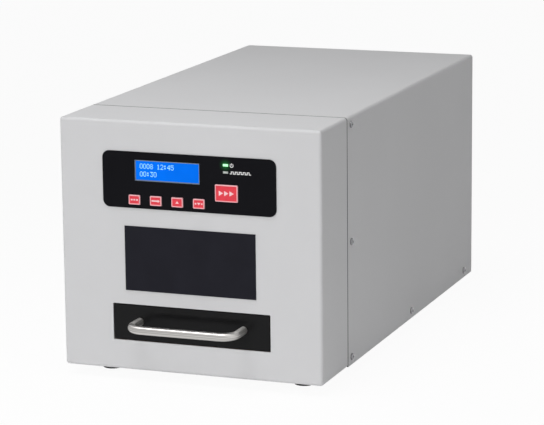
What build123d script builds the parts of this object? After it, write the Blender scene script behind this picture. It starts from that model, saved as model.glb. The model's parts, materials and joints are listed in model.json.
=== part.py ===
from build123d import *
from math import cos, radians, sin, sqrt, tan
import os

# Hard drive degausser for a bench: a sheet metal case, a drawer that carries a drive into a pulse coil,
# the capacitor bank that fires the coil, and a keypad with a display on the front.
# Millimetres, +Z up. The front faces -Y. The origin lies on the floor under the middle of the outline.

os.makedirs("parts", exist_ok=True)

# Case
BODY_WIDTH = 266.7
BODY_HEIGHT = 245.4
BODY_DEPTH = 505.9
FRONT_DEPTH = 73.4  # the front panel wraps round this far, up to the seam
SEAM_GAP = 1.2
SHEET = 1.6
BEND_RADIUS = 3.0
FIT = 0.3  # clearance between nested sheets and round fixed inserts
BASE_FLANGE = 16.0
REAR_FLANGE = 12.0
REAR_RETURN = 15.0
CORNER_NOTCH = 5.0
STRIP_THICKNESS = 2.0
STRIP_LAP = 20.0
STRIP_CLEAR = 4.0
PLATE_THICKNESS = 3.0
PLATE_MARGIN = 4.0
PLATE_FRONT = 8.0
PLATE_RADIUS = 6.0

# Screws
SCREW_SIZE = 3.5
SCREW_HEAD = 6.9
SCREW_HEAD_HEIGHT = 2.1
SCREW_LENGTH = 9.0
SCREW_GAP = 0.15  # radial clearance round a shank
HEAD_SIDE = 0.4  # share of a pan head's height that is straight
HEAD_CROWN = 0.6  # share of a pan head's width that is flat on top
SCREW_INSET = 8.0  # from the cover's lower and upper edges
SCREW_SETBACK = 10.6  # behind the cover's front edge
SCREW_REAR_INSET = 34.0
REAR_SCREW_INSET = 7.5
REAR_SCREW_SPREAD = 80.0
REAR_SCREW_FROM_ENDS = 55.0

# Feet
FOOT_HEIGHT = 10.0
FOOT_DIAMETER = 24.0
FOOT_TAPER = 1.0
FOOT_EDGE = 1.5
FOOT_INSET_X = 32.8
FOOT_INSET_Y = 40.0
FOOT_RECESS_DEPTH = 5.5
FOOT_SCREW_SIZE = 4.0
FOOT_SCREW_HEAD = 8.0
FOOT_SCREW_HEAD_HEIGHT = 2.6
FOOT_RECESS_GAP = 1.0

# Keypad, display and lamps
OVERLAY_SIDE = 44.7  # from each side of the case
OVERLAY_HEIGHT = 54.9
OVERLAY_TOP = 29.8
OVERLAY_RADIUS = 7.0
OVERLAY_THICKNESS = 0.8
LCD_WIDTH = 66.9
LCD_HEIGHT = 20.4
LCD_X = -22.1
LCD_DROP = 18.0
LCD_BORDER = 2.2
LCD_LIP = 1.0
LCD_LIP_THICKNESS = 0.6
LCD_WALL = 0.8
LCD_GLASS = 2.8
LCD_BOARD_WIDTH = 80.0
LCD_BOARD_HEIGHT = 36.0
KEY_WIDTH = 11.8
KEY_HEIGHT = 9.3
KEY_PITCH = 22.1
KEY_ROW_X = -22.7
KEY_RISE = 8.3
KEY_COUNT = 4
START_WIDTH = 23.0
START_HEIGHT = 16.3
START_X = 38.7
START_RISE = 20.0
KEY_RADIUS = 1.0
KEY_GAP = 0.25
KEY_PROUD = 0.9
KEY_RIM = 1.1
KEY_DISH = 0.3
KEY_LIP = 1.2
KEY_SEAT = 0.1
KEY_TRAVEL = 0.6
SWITCH_SIZE = 6.0
LED_X = 37.9
LED_DROP = 7.9
LED_PITCH = 6.9
LED_WIDTH = 5.0
LED_HEIGHT = 2.0
LED_PROUD = 0.2
BOARD_DEPTH = 8.0  # from the front face back to the keypad and display boards
BOARD_THICKNESS = 1.6
BOARD_EDGE = 6.0
STANDOFF_DIAMETER = 4.6  # across the corners
HEX_SIDES = 6
STANDOFF_INSET = 2.5

# Label plate
LABEL_WIDTH = 134.3
LABEL_FILL = 0.6677  # share of the height between the drawer and the keypad
LABEL_THICKNESS = 0.6
LABEL_SHARE = 0.437  # share of what is left that lies below the plate

# Drawer
OPENING_SIDE = 52.1  # from each side of the case
OPENING_HEIGHT = 36.4
OPENING_RISE = 29.2
OPENING_RADIUS = 1.0
DRAWER_GAP = 0.6
DRAWER_RECESS = 0.5
FACE_THICKNESS = 6.0
FACE_EDGE = 0.6
TRAY_INSET = 2.5
TRAY_RISE = 1.0
TRAY_HEIGHT = 30.0
TRAY_WALL = 3.0
BAY_LENGTH = 152.0
BAY_RADIUS = 4.0
TAIL_LENGTH = 55.0
CROSSBAR = 6.0
CROSSBAR_LIFT = 3.0
DRAWER_TRAVEL = 195.0
HANDLE_INSET = 27.15  # from the drawer front's ends to the posts
HANDLE_REACH = 30.5
HANDLE_ROD = 8.0
HANDLE_BEND = 14.0
HANDLE_RISE = 1.0
HANDLE_SCREW_SIZE = 4.0
HANDLE_SCREW_HEAD = 8.0
HANDLE_SCREW_HEAD_HEIGHT = 2.6
HANDLE_THREAD = 8.0
FLAG_THICKNESS = 1.5
FLAG_SIZE = 12.0
FLAG_INSET = 23.15

# Drawer tunnel and coil
RUNNER_THICKNESS = 2.5
RUNNER_WIDTH = 12.0
RUNNER_INSET = 8.0
RUN_GAP = 0.2
TUNNEL_SIDE_GAP = 1.5
TUNNEL_HEADROOM = 4.0
FORMER_WALL = 4.0
FORMER_RADIUS = 5.0
STOP_SIZE = 10.0
STOP_DROP = 3.2
STOP_INSET = 19.65
STOP_GAP = 0.4
COIL_START = 30.0
CHEEK = 8.0
CHEEK_OVERLAP = 8.0
WINDING = 14.0
WINDING_LENGTH = 160.0
ANGLE_LEG = 16.0
ANGLE_WIDTH = 24.0
ANGLE_THICKNESS = 3.0
ANGLE_INSET = 35.65

# Drawer sensor
SENSOR_SIZE = 14.0
SENSOR_SLOT = 4.5
SENSOR_SLOT_DEPTH = 10.0
SENSOR_BACK = 2.0
SENSOR_HEIGHT = 12.0
SENSOR_BRACKET = 2.0
SENSOR_FOOT = 12.0

# Electronics shelf
SHELF_START = 26.0
SHELF_LENGTH = 214.0
SHELF_OVERHANG = 7.35
SHELF_FLANGE = 10.0
CONTROL_BOARD_SIDE = 23.0  # from each side of the shelf
CONTROL_BOARD_LENGTH = 105.0
CONTROL_BOARD_START = 16.0
CONTROL_STANDOFF = 8.0
HEAT_SINK_WIDTH = 120.0
HEAT_SINK_HEIGHT = 62.0
HEAT_SINK_BASE = 6.0
HEAT_SINK_FIN = 24.0
FIN_THICKNESS = 2.0
FIN_COUNT = 12
THYRISTOR_WIDTH = 92.0
THYRISTOR_HEIGHT = 34.0
THYRISTOR_DEPTH = 26.0
THYRISTOR_RISE = 10.0
THYRISTOR_CORNER = 6.0
STUD_DIAMETER = 9.0
STUD_PITCH = 30.0
STUD_COUNT = 3
STUD_HEIGHT = 5.0

# Capacitor bank
CAPACITOR_DIAMETER = 64.0
CAPACITOR_HEIGHT = 124.0
CAPACITOR_SPACE = 8.0
CAPACITOR_GAP = 2.0  # behind the sensor's bracket
CAPACITOR_RIM = 3.0
CAPACITOR_LID_DROP = 2.5
TERMINAL_SPACING = 22.0
TERMINAL_DIAMETER = 10.0
TERMINAL_HEIGHT = 7.0
CLAMP_THICKNESS = 1.6
CLAMP_HEIGHT = 22.0
CLAMP_TAB = 10.0
CLAMP_TABS = 4
CLAMP_GAP = 0.1
BAR_WIDTH = 14.0
BAR_THICKNESS = 3.0
BAR_PAST = 10.0

# Charging transformer and bleed resistors
CORE_LENGTH = 84.0
CORE_HEIGHT = 70.0
CORE_STACK = 36.0
CORE_LEG = 14.0
CORE_WINDOW = 14.0
TRANSFORMER_WINDING = 12.5
TRANSFORMER_GAP = 0.5
STRAP_THICKNESS = 2.0
STRAP_TAB = 13.0
RESISTOR_LENGTH = 50.0
RESISTOR_WIDTH = 16.0
RESISTOR_HEIGHT = 15.0
RESISTOR_SPACING = 26.0
RESISTOR_SPACE = 14.0
RESISTOR_FINS = 5

# Fan and vents on the rear panel
FAN_SIZE = 80.0
FAN_DEPTH = 25.4
FAN_DUCT = 76.0
FAN_CORNER = 4.0
FAN_HOLE_PITCH = 71.5
FAN_HOLE = 4.3
FAN_INSET = 66.15  # from the rear panel's end
FAN_DROP = 80.4
FAN_HUB = 32.0
FAN_HUB_DEPTH = 15.0
FAN_MOTOR_DEPTH = 6.0
FAN_STRUT = 4.0
FAN_STRUTS = 4
FAN_TIP_GAP = 2.0
FAN_BLADES = 7
FAN_BLADE_CHORD = 15.0
FAN_BLADE_THICKNESS = 1.6
FAN_BLADE_PITCH = 42.0
FAN_BLADE_CAMBER = 1.9
FAN_SHAFT = 4.0
FAN_SHAFT_GAP = 0.06
FAN_RUN_GAP = 1.0
GRILLE_SLOT = 5.0
GRILLE_WEB = 3.0
GRILLE_RINGS = 4
GRILLE_SPOKE = 6.0
VENT_WIDTH = 60.0
VENT_HEIGHT = 4.0
VENT_PITCH = 9.0
VENT_COUNT = 8
VENT_SHARE = 0.7253  # share of the case's height
SOCKET_INSET = 62.15  # from the rear panel's end

# Mains inlet and power switch
INLET_RISE = 45.0
INLET_FLANGE_WIDTH = 50.0
INLET_FLANGE_HEIGHT = 26.0
INLET_FLANGE = 3.0
INLET_BODY_WIDTH = 28.0
INLET_BODY_HEIGHT = 20.4
INLET_BODY_DEPTH = 24.0
INLET_MOUTH_WIDTH = 24.4
INLET_MOUTH_HEIGHT = 16.8
INLET_MOUTH_DEPTH = 18.0
INLET_MOUTH_CORNER = 4.0
INLET_HOLE_PITCH = 40.0
INLET_HOLE = 3.4
INLET_CORNER = 4.0
INLET_SCREW_SIZE = 3.1
INLET_SCREW_HEAD = 6.0
INLET_SCREW_HEAD_HEIGHT = 1.6
PIN_WIDTH = 2.0
PIN_HEIGHT = 4.0
PIN_LENGTH = 13.0
PIN_PITCH = 7.0
PIN_OFFSET = 2.0
PIN_TAIL = 8.0
SWITCH_RISE = 95.0
SWITCH_BEZEL = 1.5
SWITCH_BEZEL_BORDER = 2.2
SWITCH_WALL = 2.5
SWITCH_DEPTH = 22.0
ROCKER_WIDTH = 14.0
ROCKER_HALF = 10.5
ROCKER_TILT = 9.0
ROCKER_PIVOT_DEPTH = 4.0
ROCKER_BELOW_PIVOT = 2.0
ROCKER_GAP = 0.4
ROCKER_WELL = 4.0
ROCKER_PIN = 3.0
ROCKER_PIN_GAP = 0.08
ROCKER_PIN_LENGTH = 1.6

# Heights and depths that follow from the driving sizes
case_bottom = FOOT_HEIGHT
case_top = case_bottom + BODY_HEIGHT
case_middle = (case_bottom + case_top) / 2
floor_top = case_bottom + SHEET
plate_top = floor_top + PLATE_THICKNESS
front_reach = HANDLE_REACH + HANDLE_ROD / 2 - DRAWER_RECESS
rear_reach = max(SCREW_HEAD_HEIGHT, INLET_FLANGE - SHEET + INLET_SCREW_HEAD_HEIGHT)
front_y = -(BODY_DEPTH + rear_reach - front_reach) / 2
rear_y = front_y + BODY_DEPTH
rear_out = rear_y - SHEET
rear_in = rear_out - SHEET
cover_start = FRONT_DEPTH + SEAM_GAP
half_width = BODY_WIDTH / 2
base_half = half_width - SHEET - FIT
plate_half = base_half - SHEET - PLATE_MARGIN
rear_half = base_half - BEND_RADIUS - FIT
opening_width = BODY_WIDTH - 2 * OPENING_SIDE
overlay_width = BODY_WIDTH - 2 * OVERLAY_SIDE
rear_top = case_top - BEND_RADIUS - FIT


def facing_front(depth):
    """Upright plane seen by the user, a depth behind the front face; local x is X and local y is Z."""
    return Plane(origin=(0, front_y + depth, 0), x_dir=(1, 0, 0), z_dir=(0, -1, 0))


def pan_screw(size, head, head_height, length):
    """Pan head screw along Z, its seat at Z = 0 and its shank below."""
    with BuildPart() as screw:
        with BuildSketch(Plane.XZ):
            with BuildLine():
                Polyline(
                    (0, head_height),
                    (0, -length),
                    (size / 2, -length),
                    (size / 2, 0),
                    (head / 2, 0),
                    (head / 2, head_height * HEAD_SIDE),
                    (head / 2 * HEAD_CROWN, head_height),
                    close=True,
                )
            make_face()
        revolve(axis=Axis.Z)
    return screw.part


# Places on the front face
overlay_top = case_top - OVERLAY_TOP
overlay_bottom = overlay_top - OVERLAY_HEIGHT
overlay_middle = (overlay_top + overlay_bottom) / 2
lcd_place = (LCD_X, overlay_top - LCD_DROP)
key_z = overlay_bottom + KEY_RISE
key_places = [(KEY_ROW_X + (i - (KEY_COUNT - 1) / 2) * KEY_PITCH, key_z) for i in range(KEY_COUNT)]
start_place = (START_X, overlay_bottom + START_RISE)
power_led_place = (LED_X, overlay_top - LED_DROP)
status_led_place = (LED_X, overlay_top - LED_DROP - LED_PITCH)
led_places = [power_led_place, status_led_place]
drawer_z = case_bottom + OPENING_RISE + OPENING_HEIGHT / 2
drawer_top = drawer_z + OPENING_HEIGHT / 2
label_height = LABEL_FILL * (overlay_bottom - drawer_top)
label_bottom = drawer_top + LABEL_SHARE * (overlay_bottom - drawer_top - label_height)
lcd_frame_width = LCD_WIDTH + 2 * LCD_BORDER
lcd_frame_height = LCD_HEIGHT + 2 * LCD_BORDER

# Places of the cover screws, as Y and Z on each side, and of the screws through the rear flange
screw_front = front_y + cover_start + SCREW_SETBACK
screw_rear = rear_y - SCREW_REAR_INSET
strip_screws = [(screw_front, case_middle), (screw_front, case_top - SCREW_INSET)]
base_screw_ys = [screw_front, (screw_front + screw_rear) / 2, screw_rear]
base_screws = [(y, case_bottom + SCREW_INSET) for y in base_screw_ys]
rear_flange_x = half_width - REAR_SCREW_INSET
rear_screw_places = [
    (-REAR_SCREW_SPREAD, case_top - REAR_SCREW_INSET),
    (REAR_SCREW_SPREAD, case_top - REAR_SCREW_INSET),
    (-rear_flange_x, case_top - REAR_SCREW_FROM_ENDS),
    (rear_flange_x, case_top - REAR_SCREW_FROM_ENDS),
    (-rear_flange_x, case_bottom + REAR_SCREW_FROM_ENDS),
    (rear_flange_x, case_bottom + REAR_SCREW_FROM_ENDS),
]
screw_hole = SCREW_SIZE / 2 + SCREW_GAP

# Places of the feet
foot_x = half_width - FOOT_INSET_X
front_feet = [(-foot_x, front_y + FOOT_INSET_Y), (foot_x, front_y + FOOT_INSET_Y)]
rear_feet = [(-foot_x, rear_y - FOOT_INSET_Y), (foot_x, rear_y - FOOT_INSET_Y)]
foot_hole = FOOT_SCREW_SIZE / 2 + SCREW_GAP

# Front panel: a folded box open at the back, with the cut-outs for the drawer, display, keys and lamps
with BuildPart() as front_panel:
    with BuildSketch(facing_front(0)):
        with Locations((0, case_middle)):
            Rectangle(BODY_WIDTH, BODY_HEIGHT)
    extrude(amount=-FRONT_DEPTH)
    front_edges = front_panel.faces().sort_by(Axis.Y)[0].edges()
    fillet(front_panel.edges().filter_by(Axis.Y) + front_edges, BEND_RADIUS)
    offset(amount=-SHEET, openings=front_panel.faces().sort_by(Axis.Y)[-1])
    with BuildSketch(facing_front(0)):
        with Locations((0, drawer_z)):
            RectangleRounded(opening_width, OPENING_HEIGHT, OPENING_RADIUS)
        with Locations(lcd_place):
            Rectangle(lcd_frame_width + 2 * FIT, lcd_frame_height + 2 * FIT)
        with Locations(*key_places):
            RectangleRounded(KEY_WIDTH + 2 * KEY_GAP, KEY_HEIGHT + 2 * KEY_GAP, KEY_RADIUS)
        with Locations(start_place):
            RectangleRounded(START_WIDTH + 2 * KEY_GAP, START_HEIGHT + 2 * KEY_GAP, KEY_RADIUS)
        with Locations(*led_places):
            Rectangle(LED_WIDTH + 2 * FIT, LED_HEIGHT + 2 * FIT)
    extrude(amount=-2 * SHEET, mode=Mode.SUBTRACT)
    with BuildSketch(Plane.XY.offset(case_bottom)):
        with Locations(*front_feet):
            Circle(foot_hole)
    extrude(amount=2 * SHEET, mode=Mode.SUBTRACT)

# Cover: top and sides in one sheet, flanged inward at the rear, with its lower rear corners relieved
with BuildPart() as top_cover:
    with BuildSketch(facing_front(cover_start)):
        with Locations((0, case_middle)):
            Rectangle(BODY_WIDTH, BODY_HEIGHT)
    extrude(amount=-(BODY_DEPTH - cover_start))
    rear_edges = top_cover.faces().sort_by(Axis.Y)[-1].edges().sort_by(Axis.Z)[1:]
    top_edges = top_cover.edges().filter_by(Axis.Y).group_by(Axis.Z)[-1]
    fillet(rear_edges + top_edges, BEND_RADIUS)
    cover_front = top_cover.faces().sort_by(Axis.Y)[0]
    cover_bottom = top_cover.faces().sort_by(Axis.Z)[0]
    offset(amount=-SHEET, openings=[cover_front, cover_bottom])
    with BuildSketch(facing_front(BODY_DEPTH)):
        with Locations((0, case_bottom)):
            Rectangle(BODY_WIDTH, 2 * CORNER_NOTCH)
        with Locations((0, case_top - REAR_FLANGE)):
            Rectangle(BODY_WIDTH - 2 * REAR_FLANGE, BODY_HEIGHT, align=(Align.CENTER, Align.MAX))
        with Locations(*rear_screw_places):
            Circle(screw_hole)
    extrude(amount=BEND_RADIUS, mode=Mode.SUBTRACT)
    with BuildSketch(Plane.YZ):
        with Locations(*strip_screws, *base_screws):
            Circle(screw_hole)
    extrude(amount=BODY_WIDTH, both=True, mode=Mode.SUBTRACT)

# Base pan: floor behind the seam with a flange up each side, inside the cover
with BuildPart() as base_pan:
    with BuildSketch(facing_front(cover_start)):
        with Locations((0, case_bottom)):
            Rectangle(2 * base_half, BASE_FLANGE, align=(Align.CENTER, Align.MIN))
    extrude(amount=-(BODY_DEPTH - BEND_RADIUS - FIT - cover_start))
    fillet(base_pan.edges().filter_by(Axis.Y).group_by(Axis.Z)[0], BEND_RADIUS)
    pan_ends = base_pan.faces().filter_by(Axis.Y)
    offset(amount=-SHEET, openings=pan_ends + base_pan.faces().sort_by(Axis.Z)[-1:])
    with BuildSketch(Plane.YZ):
        with Locations(*base_screws):
            Circle(screw_hole)
    extrude(amount=BODY_WIDTH, both=True, mode=Mode.SUBTRACT)
    with BuildSketch(Plane.XY.offset(case_bottom)):
        with Locations(*rear_feet):
            Circle(foot_hole)
    extrude(amount=2 * SHEET, mode=Mode.SUBTRACT)

# Places on the rear panel
socket_x = rear_half - SOCKET_INSET
fan_place = (FAN_INSET - rear_half, case_top - FAN_DROP)
inlet_place = (socket_x, case_bottom + INLET_RISE)
switch_place = (socket_x, case_bottom + SWITCH_RISE)
vent_place = (socket_x, case_bottom + VENT_SHARE * BODY_HEIGHT)
rocker_radius = sqrt(ROCKER_HALF**2 + (ROCKER_PIVOT_DEPTH + ROCKER_HALF * tan(radians(ROCKER_TILT))) ** 2)
well_width = ROCKER_WIDTH + 2 * ROCKER_GAP
well_height = 2 * (rocker_radius + ROCKER_GAP)
switch_width = well_width + 2 * SWITCH_WALL
switch_height = well_height + 2 * SWITCH_WALL
bezel_width = switch_width + 2 * SWITCH_BEZEL_BORDER
bezel_height = switch_height + 2 * SWITCH_BEZEL_BORDER

# Fan grille: rings cut by spokes, laid out round its own middle
duct_radius = FAN_DUCT / 2
ring_radii = [duct_radius - ring * (GRILLE_SLOT + GRILLE_WEB) for ring in range(GRILLE_RINGS)]
with BuildSketch() as fan_grille:
    for ring_radius in ring_radii:
        Circle(ring_radius)
        Circle(ring_radius - GRILLE_SLOT, mode=Mode.SUBTRACT)
    with PolarLocations(0, FAN_STRUTS, start_angle=180 / FAN_STRUTS):
        Rectangle(FAN_DUCT, GRILLE_SPOKE, mode=Mode.SUBTRACT)

# Rear panel: flat, inside the cover's flange, with a return on the floor, a punched fan grille and vents
with BuildPart() as rear_panel:
    with BuildSketch(facing_front(BODY_DEPTH - SHEET)):
        with Locations((0, floor_top)):
            Rectangle(2 * rear_half, rear_top - floor_top, align=(Align.CENTER, Align.MIN))
    extrude(amount=REAR_RETURN)
    fillet(rear_panel.edges().filter_by(Axis.X).group_by(Axis.Y)[-1].sort_by(Axis.Z)[0], BEND_RADIUS)
    panel_ends = rear_panel.faces().filter_by(Axis.X)
    panel_front = rear_panel.faces().sort_by(Axis.Y)[:1]
    panel_top = rear_panel.faces().sort_by(Axis.Z)[-1:]
    offset(amount=-SHEET, openings=panel_ends + panel_front + panel_top)
    with BuildSketch(facing_front(BODY_DEPTH - SHEET)):
        with Locations(fan_place):
            add(fan_grille.sketch)
            with GridLocations(FAN_HOLE_PITCH, FAN_HOLE_PITCH, 2, 2):
                Circle(FAN_HOLE / 2)
        with Locations(inlet_place):
            Rectangle(INLET_BODY_WIDTH + 2 * FIT, INLET_BODY_HEIGHT + 2 * FIT)
            with GridLocations(INLET_HOLE_PITCH, 0, 2, 1):
                Circle(INLET_HOLE / 2)
        with Locations(switch_place):
            Rectangle(switch_width + 2 * FIT, switch_height + 2 * FIT)
        with Locations(vent_place):
            with GridLocations(0, VENT_PITCH, 1, VENT_COUNT):
                SlotOverall(VENT_WIDTH, VENT_HEIGHT)
        with Locations(*rear_screw_places):
            Circle(screw_hole)
    extrude(amount=2 * SHEET, mode=Mode.SUBTRACT)

# Joint strips: welded inside the front panel's edge, behind the cover's front edge
strip_x = half_width - SHEET - STRIP_THICKNESS / 2
strip_start = FRONT_DEPTH - STRIP_LAP
strip_width = 2 * STRIP_LAP + SEAM_GAP
strip_low = case_bottom + BASE_FLANGE + STRIP_CLEAR
strip_high = case_top - SHEET - STRIP_THICKNESS - FIT
with BuildPart() as joint_strips:
    with BuildSketch(facing_front(strip_start)):
        with Locations((-strip_x, (strip_low + strip_high) / 2), (strip_x, (strip_low + strip_high) / 2)):
            Rectangle(STRIP_THICKNESS, strip_high - strip_low)
        with Locations((0, case_top - SHEET - STRIP_THICKNESS / 2)):
            Rectangle(2 * (strip_x - STRIP_CLEAR), STRIP_THICKNESS)
    extrude(amount=-strip_width)
    with BuildSketch(Plane.YZ):
        with Locations(*strip_screws):
            Circle(screw_hole)
    extrude(amount=BODY_WIDTH, both=True, mode=Mode.SUBTRACT)

# Floor plate: carries the coil and the power parts and ties the front panel to the base pan
plate_length = BODY_DEPTH - PLATE_FRONT - SHEET - REAR_RETURN - FIT
with BuildPart() as floor_plate:
    with BuildSketch(Plane.XY.offset(floor_top)):
        with Locations((0, front_y + PLATE_FRONT + plate_length / 2)):
            RectangleRounded(2 * plate_half, plate_length, PLATE_RADIUS)
        with Locations(*front_feet, *rear_feet):
            Circle(foot_hole, mode=Mode.SUBTRACT)
    extrude(amount=PLATE_THICKNESS)

# Case screws on both sides and through the rear flange
case_screw = pan_screw(SCREW_SIZE, SCREW_HEAD, SCREW_HEAD_HEIGHT, SCREW_LENGTH)
side_screws = [(side, y, z) for side in (-1, 1) for y, z in strip_screws + base_screws]
side_seats = [Plane((side * half_width, y, z), z_dir=(side, 0, 0)) for side, y, z in side_screws]
rear_seats = [Plane((x, rear_y, z), z_dir=(0, 1, 0)) for x, z in rear_screw_places]
with BuildPart() as case_screws:
    with Locations(*side_seats, *rear_seats):
        add(case_screw)

# Rubber feet, each with a screw up into the floor plate from a recess
recess_radius = FOOT_SCREW_HEAD / 2 + FOOT_RECESS_GAP
foot_floor_radius = FOOT_DIAMETER / 2 - FOOT_TAPER
with BuildPart() as foot:
    with BuildSketch(Plane.XZ) as foot_profile:
        with BuildLine():
            Polyline(
                (recess_radius, 0),
                (foot_floor_radius, 0),
                (FOOT_DIAMETER / 2, FOOT_HEIGHT),
                (foot_hole, FOOT_HEIGHT),
                (foot_hole, FOOT_RECESS_DEPTH),
                (recess_radius, FOOT_RECESS_DEPTH),
                close=True,
            )
        make_face()
        chamfer(foot_profile.vertices().sort_by_distance((foot_floor_radius, 0, 0))[0], FOOT_EDGE)
    revolve(axis=Axis.Z)
with BuildPart() as feet:
    with Locations(*[(x, y, 0) for x, y in front_feet + rear_feet]):
        add(foot.part)

foot_grip = FOOT_HEIGHT - FOOT_RECESS_DEPTH + SHEET + PLATE_THICKNESS - FIT
foot_screw = pan_screw(FOOT_SCREW_SIZE, FOOT_SCREW_HEAD, FOOT_SCREW_HEAD_HEIGHT, foot_grip)
with BuildPart() as foot_screws:
    foot_seats = front_feet + rear_feet
    with Locations(*[Plane((x, y, FOOT_RECESS_DEPTH), z_dir=(0, 0, -1)) for x, y in foot_seats]):
        add(foot_screw)

# Keypad overlay: thin sheet on the front face with the display window, key holes and lamp windows
with BuildPart() as keypad_overlay:
    with BuildSketch(facing_front(0)):
        with Locations((0, overlay_middle)):
            RectangleRounded(overlay_width, OVERLAY_HEIGHT, OVERLAY_RADIUS)
        with Locations(lcd_place):
            Rectangle(LCD_WIDTH, LCD_HEIGHT, mode=Mode.SUBTRACT)
        with Locations(*key_places):
            RectangleRounded(
                KEY_WIDTH + 2 * KEY_GAP, KEY_HEIGHT + 2 * KEY_GAP, KEY_RADIUS, mode=Mode.SUBTRACT
            )
        with Locations(start_place):
            RectangleRounded(
                START_WIDTH + 2 * KEY_GAP, START_HEIGHT + 2 * KEY_GAP, KEY_RADIUS, mode=Mode.SUBTRACT
            )
        with Locations(*led_places):
            Rectangle(LED_WIDTH + 2 * FIT, LED_HEIGHT + 2 * FIT, mode=Mode.SUBTRACT)
    extrude(amount=OVERLAY_THICKNESS)

# Display: a metal frame in the panel's cut-out, holding the glass and its backlight against the board
lcd_pocket_width = lcd_frame_width - 2 * LCD_WALL
lcd_pocket_height = lcd_frame_height - 2 * LCD_WALL
lcd_glass_depth = FIT + LCD_LIP_THICKNESS
with BuildPart() as lcd_frame:
    with BuildSketch(facing_front(FIT)):
        with Locations(lcd_place):
            Rectangle(lcd_frame_width, lcd_frame_height)
            Rectangle(LCD_WIDTH - 2 * LCD_LIP, LCD_HEIGHT - 2 * LCD_LIP, mode=Mode.SUBTRACT)
    extrude(amount=-(BOARD_DEPTH - FIT))
    with BuildSketch(facing_front(lcd_glass_depth)):
        with Locations(lcd_place):
            Rectangle(lcd_pocket_width, lcd_pocket_height)
    extrude(amount=-BOARD_DEPTH, mode=Mode.SUBTRACT)

with BuildPart() as lcd_glass:
    with BuildSketch(facing_front(lcd_glass_depth)):
        with Locations(lcd_place):
            Rectangle(lcd_pocket_width, lcd_pocket_height)
    extrude(amount=-LCD_GLASS)

with BuildPart() as lcd_backlight:
    with BuildSketch(facing_front(lcd_glass_depth + LCD_GLASS)):
        with Locations(lcd_place):
            Rectangle(lcd_pocket_width, lcd_pocket_height)
    extrude(amount=-(BOARD_DEPTH - lcd_glass_depth - LCD_GLASS))

with BuildPart() as lcd_board:
    with BuildSketch(facing_front(BOARD_DEPTH)):
        with Locations(lcd_place):
            Rectangle(LCD_BOARD_WIDTH, LCD_BOARD_HEIGHT)
    extrude(amount=-BOARD_THICKNESS)

# Keypad board: a row behind the small keys and a column behind the start key and the lamps
board_left = key_places[0][0] - KEY_WIDTH / 2 - BOARD_EDGE
board_right = START_X + START_WIDTH / 2 + BOARD_EDGE
board_low = key_z - KEY_HEIGHT / 2 - BOARD_EDGE
row_high = key_z + KEY_HEIGHT / 2 + KEY_LIP
column_left = START_X - START_WIDTH / 2 - KEY_LIP
column_high = power_led_place[1] + BOARD_EDGE
with BuildPart() as keypad_board:
    with BuildSketch(facing_front(BOARD_DEPTH)):
        with Locations((board_left, board_low)):
            Rectangle(board_right - board_left, row_high - board_low, align=Align.MIN)
        with Locations((column_left, board_low)):
            Rectangle(board_right - column_left, column_high - board_low, align=Align.MIN)
    extrude(amount=-BOARD_THICKNESS)

# Keys: caps with a raised rim that come through the panel from behind, held by a lip
key_front = OVERLAY_THICKNESS + KEY_PROUD
key_lip_front = SHEET + KEY_SEAT
key_back = key_lip_front + KEY_LIP


def key_cap(place, width, height):
    """Key cap with a dished face; its lip lies behind the front panel."""
    with BuildPart() as cap:
        with BuildSketch(facing_front(-key_front)):
            with Locations(place):
                RectangleRounded(width, height, KEY_RADIUS)
        extrude(amount=-(key_front + key_back))
        chamfer(cap.faces().sort_by(Axis.Y)[0].edges(), KEY_DISH)
        with BuildSketch(facing_front(-key_front)):
            with Locations(place):
                RectangleRounded(width - 2 * KEY_RIM, height - 2 * KEY_RIM, KEY_RADIUS / 2)
        extrude(amount=-KEY_DISH, mode=Mode.SUBTRACT)
        with BuildSketch(facing_front(key_lip_front)):
            with Locations(place):
                Rectangle(width + 2 * KEY_LIP, height + 2 * KEY_LIP)
        extrude(amount=-KEY_LIP)
    return cap


keys = [key_cap(place, KEY_WIDTH, KEY_HEIGHT) for place in key_places]
start_key = key_cap(start_place, START_WIDTH, START_HEIGHT)

switch_front = key_back + KEY_TRAVEL + KEY_SEAT
with BuildPart() as key_switches:
    with BuildSketch(facing_front(switch_front)):
        with Locations(*key_places, start_place):
            Rectangle(SWITCH_SIZE, SWITCH_SIZE)
    extrude(amount=-(BOARD_DEPTH - switch_front))


def lamp(place):
    """Lamp lens that stands on the keypad board and reaches through the overlay."""
    with BuildPart() as lens:
        with BuildSketch(facing_front(-OVERLAY_THICKNESS - LED_PROUD)):
            with Locations(place):
                Rectangle(LED_WIDTH, LED_HEIGHT)
        extrude(amount=-(OVERLAY_THICKNESS + LED_PROUD + BOARD_DEPTH))
        fillet(lens.faces().sort_by(Axis.Y)[0].edges(), LED_PROUD)
    return lens


power_led = lamp(power_led_place)
status_led = lamp(status_led_place)

# Label plate, left bare
with BuildPart() as label_plate:
    with BuildSketch(facing_front(0)):
        with Locations((0, label_bottom)):
            Rectangle(LABEL_WIDTH, label_height, align=(Align.CENTER, Align.MIN))
    extrude(amount=LABEL_THICKNESS)

# Depths along the drawer and the coil, measured back from the front face
winding_start = COIL_START + CHEEK
winding_end = winding_start + WINDING_LENGTH
coil_end = winding_end + CHEEK
bay_start = (winding_start + winding_end - BAY_LENGTH) / 2
bay_end = bay_start + BAY_LENGTH
tray_front = DRAWER_RECESS + FACE_THICKNESS
tail_start = bay_end + TRAY_WALL
tray_end = tail_start + TAIL_LENGTH
former_start = tray_front + FIT
former_end = tray_end + FIT

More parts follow.
